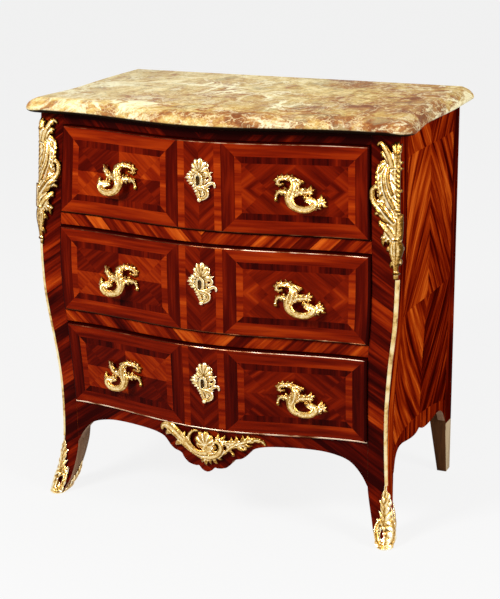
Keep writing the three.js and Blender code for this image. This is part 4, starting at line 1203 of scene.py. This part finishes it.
pull = Wax(0.100)
pull.blade([
    [-370, 200, 30, 26], [-430, 215, 40, 40], [-455, 270, 50, 50], [-410, 325, 70, 56], [-320, 345, 80, 58],
    [-220, 340, 90, 68], [-150, 295, 100, 88], [-125, 210, 130, 102], [-145, 120, 160, 104],
    [-175, 50, 170, 100],
], 8, 0.2, 0.7, 0.3)
pull.bar([
    [-270, 335, 120, 20], [-180, 300, 150, 28], [-155, 210, 190, 34], [-180, 100, 210, 34],
    [-210, 10, 220, 30],
], flute=0.2)
pull.bar([[-140, 300, 150, 22], [-95, 220, 180, 28], [-105, 130, 200, 30], [-130, 60, 200, 28]], flute=0.2)
pull.knob(-353, 222, 50, 36)
pull.bar([[-140, 310, 80, 60], [-60, 290, 70, 50], [0, 262, 40, 42], [10, 235, 30, 32]])
pull.tips([
    [-400, 340, 60, -375, 425, 30, 36], [-430, 310, 50, -465, 385, 30, 34],
    [-450, 270, 50, -540, 285, 20, 36], [-440, 230, 40, -500, 185, 15, 32],
    [-410, 210, 30, -425, 135, 15, 26], [-310, 360, 60, -275, 430, 30, 30],
    [-220, 360, 60, -180, 420, 30, 30], [-70, 270, 80, 0, 195, 40, 30], [-20, 280, 60, 45, 285, 30, 28],
    [-300, 90, 90, -330, 175, 40, 36], [-230, 90, 110, -240, 175, 50, 34], [-360, 80, 70, -355, -15, 30, 40],
    [-270, 50, 100, -310, -35, 60, 34], [-420, 60, 50, -500, 85, 30, 26], [50, 110, 120, 65, 190, 60, 36],
    [120, 110, 100, 175, 225, 40, 40], [160, 110, 80, 245, 150, 30, 36], [120, 80, 100, 230, 55, 50, 34],
    [-40, 110, 130, -45, 180, 80, 32], [320, -90, 100, 375, 55, 40, 44], [360, -90, 80, 435, -15, 30, 36],
    [380, -110, 70, 475, -85, 20, 32], [390, -130, 70, 495, -185, 20, 34],
    [340, -170, 100, 395, -245, 30, 34], [280, -190, 120, 310, -265, 60, 34],
    [170, -40, 120, 155, 40, 90, 28], [200, -40, 120, 140, -85, 100, 24],
], 0.12, 10)
pull.blade([
    [-150, 50, 150, 65], [-250, 75, 120, 56], [-340, 90, 90, 48], [-420, 75, 60, 42], [-470, 10, 40, 34],
    [-485, -60, 30, 30],
], 6, 0.3, 0.75, 0.3)
pull.knob(-480, -85, 30, 42)
pull.bar([
    [-170, 90, 170, 90], [-200, 20, 180, 96], [-198, -60, 200, 88], [-158, -130, 210, 82],
    [-80, -188, 215, 70], [50, -218, 220, 68], [180, -203, 210, 70], [268, -135, 180, 70],
    [262, -65, 150, 56], [190, -35, 130, 44], [125, -20, 120, 36],
], flute=0.45)
pull.blade([
    [240, -130, 170, 40], [190, -105, 150, 44], [130, -85, 130, 36], [75, -75, 110, 20],
], 3, 0.3, 0.7, 0.4)
pull.knob(80, -10, 120, 46)
pull.blade([
    [-200, 60, 150, 85], [-100, 90, 150, 92], [0, 100, 130, 80], [110, 100, 100, 66], [190, 130, 50, 38],
], 4, 0.25, 0.7, 0.3)
pull.blade([
    [200, -200, 160, 55], [280, -150, 130, 85], [360, -110, 90, 80], [430, -100, 40, 45],
], 4, 0.3, 0.6, 0.3)
pull_casting = pull.cast("pull casting", 0.0006)
pull.blade([
    [20, 90, 140, 50], [100, 140, 140, 74], [180, 200, 110, 70], [250, 255, 60, 44], [300, 290, 30, 18],
], 3, 0.35, 0.6, 0.4)
pull.tip([170, 200, 100], [185, 300, 40], 34, 0.12, 10)
pull.tip([210, 180, 90], [325, 205, 30], 34, 0.12, 10)
left_casting = pull.cast("left pull casting", 0.0006)
pull_across = 0.200
pull_drop = 0.010
left_shift = {"bottom": 0.004, "middle": 0.008, "top": 0.008}

for name, (low, high) in drawers.items():
    centre_z = (low + high) / 2 - pull_drop

    def on_right(spots, centre_z=centre_z):
        return on_front(spots, pull_across, centre_z, front_proud)

    def on_left(spots, centre_z=centre_z, shift=left_shift[name]):
        return on_front(spots, pull_across - shift, centre_z, front_proud) * (-1, 1, 1)

    right_pull = laid(pull_casting, name + "_handle_right_cast", on_right)
    left_pull = laid(left_casting, name + "_handle_left_cast", on_left)
    left_pull.data.flip_normals()
    chase(left_pull)
    stand_in(right_pull, name + "_handle_right", name + "_drawer")
    stand_in(left_pull, name + "_handle_left", name + "_drawer")
bpy.data.objects.remove(pull_casting)
bpy.data.objects.remove(left_casting)


# A keyhole plate is cast for each drawer: a shell above a raised oval, with ears, a hooked leaf
# and a curled leaf below. The keyhole goes through the plate and the drawer front into the lock.
plate = Wax(0.086)
plate.bar([
    [80, 470, 10, 90], [75, 400, 15, 170], [60, 300, 15, 205], [40, 170, 15, 180], [20, 0, 15, 160],
    [40, -130, 15, 145], [70, -240, 12, 140], [80, -330, 12, 100],
], flute=0, flat=0.2)
plate.shell((50, 190), ((160, 200), (134, 265), (110, 315), (87, 335), (62, 285), (36, 235)),
            ((0.08, 40, 22), (0.5, 70, 48), (0.84, 50, 58), (1, 20, 36)))
oval = [[12 + 83 * math.cos(a), 5 + 155 * math.sin(a), 55, 30] for a in np.linspace(0, 2 * math.pi, 17)]
plate.bar(oval, flute=0.3)
plate.tips([
    [-100, 130, 40, -235, 195, 20, 50], [-130, 100, 40, -300, 120, 20, 45], [-120, 50, 50, -335, 35, 20, 52],
    [-120, 0, 40, -290, -45, 20, 46], [-100, -50, 40, -235, -105, 20, 45],
    [-60, -110, 40, -150, -165, 20, 38], [150, 200, 50, 335, 215, 20, 50], [170, 160, 50, 300, 150, 20, 42],
    [0, -170, 40, -135, -215, 20, 44], [0, -220, 40, -100, -275, 20, 40], [20, -290, 30, -75, -330, 15, 34],
    [170, -100, 40, 270, -160, 20, 36],
], 0.12, 20)
plate.blade([
    [-60, -100, 30, 40], [-140, -20, 40, 60], [-180, 70, 35, 50], [-150, 150, 20, 30],
], 4, 0.35, 0.5, 0.2)
plate.bar([
    [140, 160, 50, 40], [230, 165, 45, 35], [300, 100, 35, 34], [270, 30, 40, 34], [200, 10, 45, 32],
    [170, 50, 50, 26],
], flute=0.35)
plate.bar([
    [110, -140, 50, 45], [200, -110, 50, 40], [280, -50, 45, 40], [350, -30, 30, 36], [390, -80, 20, 30],
    [385, -140, 15, 18],
], flute=0.3)
plate.bar([
    [20, -160, 50, 45], [130, -165, 60, 55], [215, -220, 55, 52], [215, -310, 45, 50], [150, -375, 35, 46],
    [60, -415, 25, 42],
], flute=0.4)
plate.bar([[-30, -180, 40, 36], [-10, -270, 40, 40], [10, -360, 30, 42], [20, -420, 25, 40]], flute=0.3)
plate.bar([[120, -230, 50, 30], [115, -290, 55, 36], [90, -340, 40, 30]], flute=0)
plate.knob(26, -435, 30, 56)
plate_casting = plate.cast("keyhole plate casting", 0.0005)

for name, (low, high) in drawers.items():
    keyhole_z = (low + high) / 2 + key_rise

    def on_keyhole(spots, keyhole_z=keyhole_z):
        return on_front(spots, 0, keyhole_z, front_proud)

    piece = laid(plate_casting, name + "_escutcheon_cast", on_keyhole)
    cut_out(piece, keyhole_shape(keyhole_z))
    bpy.ops.object.shade_smooth()
    chase(piece, 0.0006)
    stand_in(piece, name + "_escutcheon", name + "_drawer")
bpy.data.objects.remove(plate_casting)


# The corner mounts are long leafy castings pinned over the shoulders of the front posts.
# A forked scroll stands above a shell-like body with a frilled edge, and a fluted stem runs down the ridge.
def on_post(spots, base_z):
    """Lays flat spots on the right front post: across from its ridge, up, and out from the wood."""
    across, z, out = spots[:, 0], base_z + spots[:, 1], spots[:, 2]
    x = ridge_x(z) + np.minimum(across, -ridge_chamfer)
    wrap = np.clip((across + ridge_chamfer) / (2 * ridge_chamfer), 0, 1)
    beyond = np.maximum(across - ridge_chamfer, 0)
    side_y = ridge_y(z) + ridge_chamfer + beyond
    point_x = x * (1 - wrap) + side_x(side_y, z) * wrap
    point_y = front_y(x, z) * (1 - wrap) + side_y * wrap
    size = np.sqrt(wrap ** 2 + (1 - wrap) ** 2)
    return np.column_stack([point_x + wrap / size * out, point_y - (1 - wrap) / size * out, z])


corner = Wax(0.250)
corner.bar([
    [-178, 0, 12, 10], [-158, 22, 20, 15], [-132, 16, 30, 20], [-105, -25, 35, 24], [-75, -80, 35, 28],
    [-55, -160, 30, 30],
], flute=0.45)
corner.tip([-120, 0, 30], [-155, -20, 15], 13, 0.2, 6)
corner.bar([[-155, -52, 12, 10], [-135, -50, 20, 16], [-105, -75, 30, 20], [-80, -120, 30, 24]], flute=0.35)
corner.tip([-120, -70, 25], [-145, -95, 12], 13, 0.2, 6)
corner.tip([-45, -45, 20], [-75, 18, 10], 20, 0.2, 10)
corner.tip([-32, -45, 22], [-48, 38, 10], 22, 0.1, 10)
corner.tip([-18, -45, 18], [-16, 40, 8], 20, -0.1, 10)
corner.tip([-8, -45, 12], [10, 20, 6], 15, -0.2, 10)
corner.tip([-30, -70, 28], [-34, 0, 20], 24, 0.0, 10)
corner.blade([
    [-30, 0, 18, 26], [-37, -120, 24, 31], [-40, -240, 26, 31], [-36, -360, 24, 30], [-28, -500, 18, 28],
], 13, 0.12, 0.45, 0.6)
corner.bar([[-32, -10, 20, 24], [-36, -60, 26, 27], [-40, -130, 26, 26], [-42, -190, 18, 18]], flute=0.35)
corner.bar([
    [-12, 0, 12, 9], [-14, -120, 18, 10], [-14, -240, 20, 10], [-13, -360, 20, 10], [-12, -500, 18, 10],
], flute=0)
corner.blade([
    [-50, -85, 8, 30], [-95, -135, 14, 62], [-105, -210, 18, 78], [-100, -290, 20, 82], [-95, -370, 20, 76],
    [-75, -440, 20, 60], [-45, -520, 20, 40], [-30, -580, 20, 30],
], 9, 0.14, 0.42, 0.8)
corner.blade([
    [-120, -400, 30, 24], [-145, -340, 35, 28], [-160, -270, 35, 28], [-166, -200, 25, 24],
    [-160, -140, 12, 14],
], 8, 0.4, 0.5, 0.3)
corner.bar([
    [-100, -150, 30, 12], [-115, -220, 45, 16], [-105, -310, 50, 18], [-70, -390, 50, 20],
    [-35, -460, 40, 18],
], flute=0.4)
corner.bar([[-75, -130, 35, 11], [-85, -200, 50, 15], [-75, -280, 55, 16], [-45, -360, 50, 16]], flute=0.4)
corner.bar([
    [-152, -292, 30, 14], [-182, -298, 30, 18], [-207, -335, 30, 21], [-202, -395, 30, 23],
    [-170, -435, 35, 28], [-120, -455, 40, 32],
], flute=0.45)
corner.tip([-195, -330, 30], [-223, -300, 15], 12, 0.2, 4)
corner.blade([
    [-30, -585, 30, 36], [-70, -535, 45, 48], [-115, -480, 50, 50], [-155, -440, 35, 36],
    [-190, -440, 18, 14],
], 3, 0.22, 0.5, 0.5)
corner.bar([[-30, -560, 50, 12], [-80, -500, 70, 14], [-130, -445, 60, 12], [-170, -430, 30, 8]], flute=0)
corner.tip([-150, -450, 40], [-192, -472, 15], 18, 0.2, 6)
corner.bar([
    [-190, -515, 15, 10], [-168, -500, 22, 16], [-125, -505, 30, 22], [-75, -545, 30, 26],
    [-30, -600, 25, 24],
], flute=0.4)
corner.bar([
    [-157, -560, 18, 10], [-138, -570, 22, 18], [-105, -595, 30, 28], [-65, -635, 35, 32],
    [-30, -690, 30, 26],
], flute=0.4)
corner.tip([-130, -575, 22], [-150, -610, 12], 13, 0.2, 5)
corner.blade([
    [-60, -620, 35, 34], [-85, -650, 35, 30], [-115, -680, 25, 22], [-140, -692, 12, 10],
], 3, 0.35, 0.5, 0.4)
corner.tip([-75, -665, 25], [-118, -757, 10], 20, 0.2, 8)
corner.tip([-55, -680, 25], [-82, -745, 10], 16, 0.2, 8)
corner.bar([[-30, -530, 35, 18], [-26, -610, 35, 17], [-30, -690, 35, 18]], flute=0.4)
corner.bar([[-5, -500, 30, 14], [-4, -600, 32, 14], [-8, -690, 35, 14]], flute=0.4)
corner.bar([[-62, -695, 20, 10], [-28, -690, 42, 13], [8, -697, 20, 10]], flute=0)
corner.bar([
    [-28, -690, 12, 28], [-30, -735, 16, 40], [-28, -785, 16, 40], [-24, -850, 14, 28], [-22, -910, 12, 20],
    [-18, -1000, 10, 19],
], flute=0, flat=0.5)
for lean in (-1, -0.33, 0.33, 1):
    corner.bar([
        [-28 + lean * 18, -695, 28, 9], [-30 + lean * 31, -745, 30, 13], [-28 + lean * 29, -795, 30, 12],
        [-24 + lean * 15, -860, 26, 9], [-20 + lean * 8, -940, 20, 7],
    ], flute=0)
corner.tip([-50, -750, 25], [-88, -795, 10], 18, 0.2, 8)
corner.tip([-10, -750, 25], [20, -800, 10], 16, -0.2, 8)
corner.tip([-35, -860, 20], [-54, -918, 10], 13, 0.2, 6)
corner.tip([-10, -840, 20], [8, -900, 10], 12, -0.2, 6)
corner.bar([[-40, -955, 12, 9], [-18, -952, 26, 12], [6, -958, 12, 9]], flute=0)
for up in (-120, -165, -330, -530, -569, -606, -641, -679):
    corner.knob(4, up, 12, 11.5)
corner_casting = corner.cast("corner mount casting", 0.0008)
mount_top = 0.800
right_corner = laid(corner_casting, "corner_mount_right_cast", lambda spots: on_post(spots, mount_top))
bpy.data.objects.remove(corner_casting)
pair_off(right_corner)


# A plain rounded fillet of bronze runs down each ridge, from the corner mount to the sabot, and narrows
# as it goes. It covers the joint of the front and side veneers, and its gilding has worn to pale brass.
fillet_foot, fillet_head = 0.1203, 0.5485
fillet_height = 0.0033
fillet_narrower = 0.0008
fillet_widening = 0.0030


def fillet_plan(z):
    """A half round in plan, which spans the chamfer of the ridge."""
    start = Vector((ridge_x(z) - ridge_chamfer, front_y(ridge_x(z) - ridge_chamfer, z)))
    end = Vector((side_x(ridge_y(z) + ridge_chamfer, z), ridge_y(z) + ridge_chamfer))
    along = (end - start).normalized()
    out = Vector((along.y, -along.x))
    share = (z - fillet_foot) / (fillet_head - fillet_foot)
    width = (end - start).length - fillet_narrower + fillet_widening * share
    spots = []
    for turn in np.linspace(0, math.pi, 9):
        rise = fillet_height * math.sin(turn) ** 0.7
        spots.append(tuple((start + end) / 2 - along * (width / 2 * math.cos(turn)) + out * rise))
    spots.append(tuple((start + end) / 2 - out * 0.002))
    return spots


worn_brass = Finish("gilding worn to brass", Metallic=1)
x, y, z = worn_brass.place()
wear = worn_brass.cloud(worn_brass.spot(x, y, z), 45, 4, 0.6)
facing = worn_brass.node("ShaderNodeNewGeometry", out="Normal")
sideways = abs(worn_brass.node("ShaderNodeSeparateXYZ", sockets={0: facing}))
# Where the fillet faces sideways its colour is painted darker, a painted shade.
painted_side_shade = ((sideways - 0.70) * 5).clamped()
worn_brass.set(
    Base_Color=worn_brass.ramp(wear - painted_side_shade * 0.07, [
        (0.33, (0.40, 0.21, 0.06)),
        (0.43, (0.86, 0.59, 0.22)),
        (0.60, (1.0, 0.84, 0.48)),
    ]),
    Roughness=0.22 + 0.25 * wear,
)
fillet = sleeve("corner_fillet_right_rounded", fillet_plan, np.linspace(fillet_foot, fillet_head, 81))
settle(fillet)
dress(fillet, [worn_brass.material])
pair_off(fillet)


# The sabots are cast shoes that take the toes of the front legs and stand on the floor.
# Scrolls form the toe, an open ring sits on the front, a leaf climbs the ridge above it, and another
# one stands on the inner side of the leg.
shoe_swell = smooth_line([[0, 1.2], [0.08, 1.7], [0.3, 1.0], [0.55, 0.5], [0.8, 0.8], [1, 0.4]])
shoe_height = 0.052
shoe_wrap = 0.0215
shoe_thickness = 0.004


def shoe_plan(z):
    """The shoe swells round the front corner and the outside, and leaves the inner face of the leg bare."""
    bare = post_plan(max(z, post_foot))
    spots = post_plan(max(z, post_foot), shoe_thickness * float(shoe_swell(z / shoe_height)))
    inner = bare[:, 0].min()
    hidden = spots[:, 0] < ridge_x(z) - shoe_wrap
    spots[hidden, 1] = np.maximum(spots[hidden, 1], bare[hidden, 1] + 0.0012)
    spots[:, 0] = np.maximum(spots[:, 0], inner + 0.0010)
    rear = bare[:, 1].max()
    spots[0, 1] = spots[-1, 1] = rear + 0.002
    return spots


shoe = sleeve("sabot_right_shoe", shoe_plan, np.linspace(0, shoe_height, 27))
sabot = Wax(0.120)
sabot.blade([
    [-60, 280, 30, 90], [-50, 420, 40, 85], [-45, 550, 40, 75], [-40, 700, 30, 62], [-30, 840, 20, 46],
    [-15, 1000, 10, 20],
], 6, 0.35, 0.5, 0.6)
sabot.bar([
    [-115, 420, 50, 30], [-165, 360, 60, 36], [-185, 260, 70, 40], [-165, 150, 70, 40], [-120, 85, 70, 40],
    [-50, 75, 70, 38], [-20, 140, 70, 34], [-30, 220, 70, 30],
], flute=0.45)
sabot.knob(-55, 245, 70, 36)
sabot.blade([
    [0, 60, 50, 60], [30, 160, 60, 75], [40, 280, 60, 75], [20, 400, 50, 60], [-20, 500, 40, 40],
], 5, 0.35, 0.6, 0.5)
sabot.tips([
    [-60, 420, 40, -145, 575, 20, 40], [-60, 560, 30, -125, 755, 15, 34], [-50, 700, 30, -85, 850, 15, 26],
    [-10, 660, 30, 60, 770, 15, 34], [-10, 760, 20, 35, 870, 10, 26], [0, 500, 40, 90, 620, 15, 40],
    [30, 360, 50, 130, 480, 20, 44], [50, 220, 50, 160, 340, 20, 46], [50, 80, 50, 170, 170, 30, 46],
    [-140, 380, 40, -185, 460, 20, 30], [-150, 130, 50, -200, 60, 30, 36], [-50, 280, 50, -90, 360, 50, 30],
], 0.12, 20)
sabot.bar([
    [-160, 35, 30, 36], [-80, 40, 60, 42], [0, 45, 60, 44], [100, 50, 40, 44], [200, 55, 30, 40],
], flute=0.3)
sabot.blade([
    [240, 30, 20, 50], [275, 160, 30, 70], [300, 300, 30, 65], [315, 440, 20, 45], [330, 580, 5, 18],
], 4, 0.3, 0.4, 0.4)
sabot_casting = sabot.cast("sabot casting", 0.0007)
move_to(sabot_casting, on_post(places(sabot_casting), 0))
sabot_casting.data.flip_normals()


def on_inner_face(spots):
    """Lays flat spots on the inner face of the right leg: back from its front arris, up, and out."""
    across, z, out = spots.T
    return np.column_stack([leg_inner_x(z) - out, ridge_y(z) + across, z])


wing = Wax(0.120)
wing.blade([
    [130, 20, 10, 90], [180, 110, 12, 115], [220, 220, 12, 95], [250, 340, 10, 62], [265, 470, 4, 18],
], 5, 0.25, 0.28, 0.4)
wing.bar([[0, 45, 6, 40], [150, 40, 10, 42], [320, 40, 6, 40]], flute=0.2, flat=0.6)
wing.tip([140, 140, 10], [100, 270, 4], 34, 0.1, 6)
wing_casting = wing.cast("sabot inner leaf", 0.0007)
move_to(wing_casting, on_inner_face(places(wing_casting)))
for part in (sabot_casting, wing_casting):
    join = shoe.modifiers.new("joined casting", "BOOLEAN")
    join.operation = "UNION"
    join.object = part
    settle(shoe)
    bpy.data.objects.remove(part)

bpy.ops.mesh.primitive_cylinder_add(vertices=24, radius=1, depth=1, rotation=(math.pi / 2, 0, 0))
bpy.ops.object.transform_apply()
ring_hole = bpy.context.object
ring_hole_size = (0.0042, 0.040, 0.0090)
ring_height = 0.026
ring_x = ridge_x(ring_height) - 0.0118
ring_y = front_y(ring_x, ring_height) - 0.018
move_to(ring_hole, places(ring_hole) * ring_hole_size + (ring_x, ring_y, ring_height))
cut_out(shoe, ring_hole)
spots = places(shoe)
spots[:, 2] = np.maximum(spots[:, 2], 0)
move_to(shoe, spots)
bpy.ops.object.shade_smooth()
dress(shoe, [gilt.material])
chase(shoe)
pair_off(shoe)


# The apron mount is one uneven casting: a long fluted leaf on the left, a shell and a rolled volute
# in the middle with leaves that drip over the pendant, and a thin flowering branch on the right.
apron_mount_z = 0.150
drop = Wax(0.220)
drop.blade([
    [18, -30, 20, 22], [-60, 10, 30, 34], [-130, 60, 35, 42], [-200, 120, 40, 50], [-270, 180, 40, 56],
    [-335, 222, 35, 50], [-400, 240, 28, 36], [-450, 222, 20, 24], [-464, 180, 15, 12],
], 3, 0.1, 0.42, 0.5)
drop.tips([
    [-340, 190, 30, -420, 135, 10, 26], [-230, 110, 30, -315, 50, 10, 28], [-220, 170, 30, -215, 222, 10, 16],
    [0, -10, 30, -35, -75, 12, 18], [20, -20, 30, 11, -95, 12, 18], [60, 0, 30, 55, -75, 12, 18],
    [90, 10, 30, 122, -62, 12, 20], [120, 30, 30, 165, -15, 12, 15], [100, 170, 30, 125, 245, 12, 20],
    [140, 180, 30, 190, 235, 12, 20], [150, 160, 30, 225, 185, 12, 18], [240, 150, 30, 245, 225, 12, 19],
    [290, 170, 30, 292, 240, 12, 20], [340, 180, 30, 352, 252, 12, 19], [380, 190, 30, 403, 262, 12, 18],
    [430, 200, 30, 462, 245, 12, 16], [300, 150, 30, 385, 105, 12, 20], [360, 170, 30, 440, 150, 12, 16],
    [220, 120, 30, 175, 135, 12, 14],
], 0.15, 10)
drop.bar([
    [-75, 243, 18, 10], [-125, 232, 22, 15], [-162, 185, 30, 18], [-158, 115, 35, 22], [-115, 60, 35, 26],
    [-50, 35, 35, 30], [30, 45, 35, 32],
], flute=0.45)
drop.shell((15, 100), ((168, 100), (143, 135), (118, 155), (93, 150), (68, 125), (45, 100)),
           ((0.1, 30, 14), (0.5, 45, 27), (0.86, 32, 29), (1, 15, 16)))
drop.bar([[-30, 90, 20, 40], [30, 90, 30, 55], [90, 100, 25, 45]], flute=0, flat=0.5)
drop.bar([
    [65, 125, 35, 16], [100, 165, 45, 20], [145, 155, 50, 23], [160, 105, 50, 27], [125, 45, 45, 30],
    [65, 10, 35, 30], [-10, 0, 30, 24],
], flute=0.45)
drop.knob(102, 118, 55, 24)
drop.bar([[75, 95, 45, 12], [85, 70, 50, 15], [115, 70, 50, 12]], flute=0)
drop.blade([
    [90, 15, 30, 20], [150, 40, 30, 22], [205, 85, 30, 24], [255, 130, 30, 30], [310, 165, 30, 34],
    [380, 190, 30, 32], [460, 210, 25, 27], [525, 200, 20, 20], [557, 160, 12, 10],
], 10, 0.34, 0.6, 0.4)
drop.bar([[230, 110, 30, 13], [245, 85, 25, 12], [262, 60, 20, 14]], flute=0)
drop.knob(264, 50, 22, 19)
drop.blade([[150, 155, 25, 20], [210, 160, 30, 28], [280, 165, 30, 30]], 3, 0.3, 0.6, 0.3)
drop.bar([[385, 105, 15, 10], [375, 135, 20, 14], [340, 155, 30, 18]], flute=0.2)
drop_casting = drop.cast("apron mount casting", 0.0007)
apron_mount = laid(drop_casting, "apron_mount_cast", lambda spots: on_front(spots, 0, apron_mount_z, 0))
bpy.data.objects.remove(drop_casting)
stand_in(apron_mount, "apron_mount")
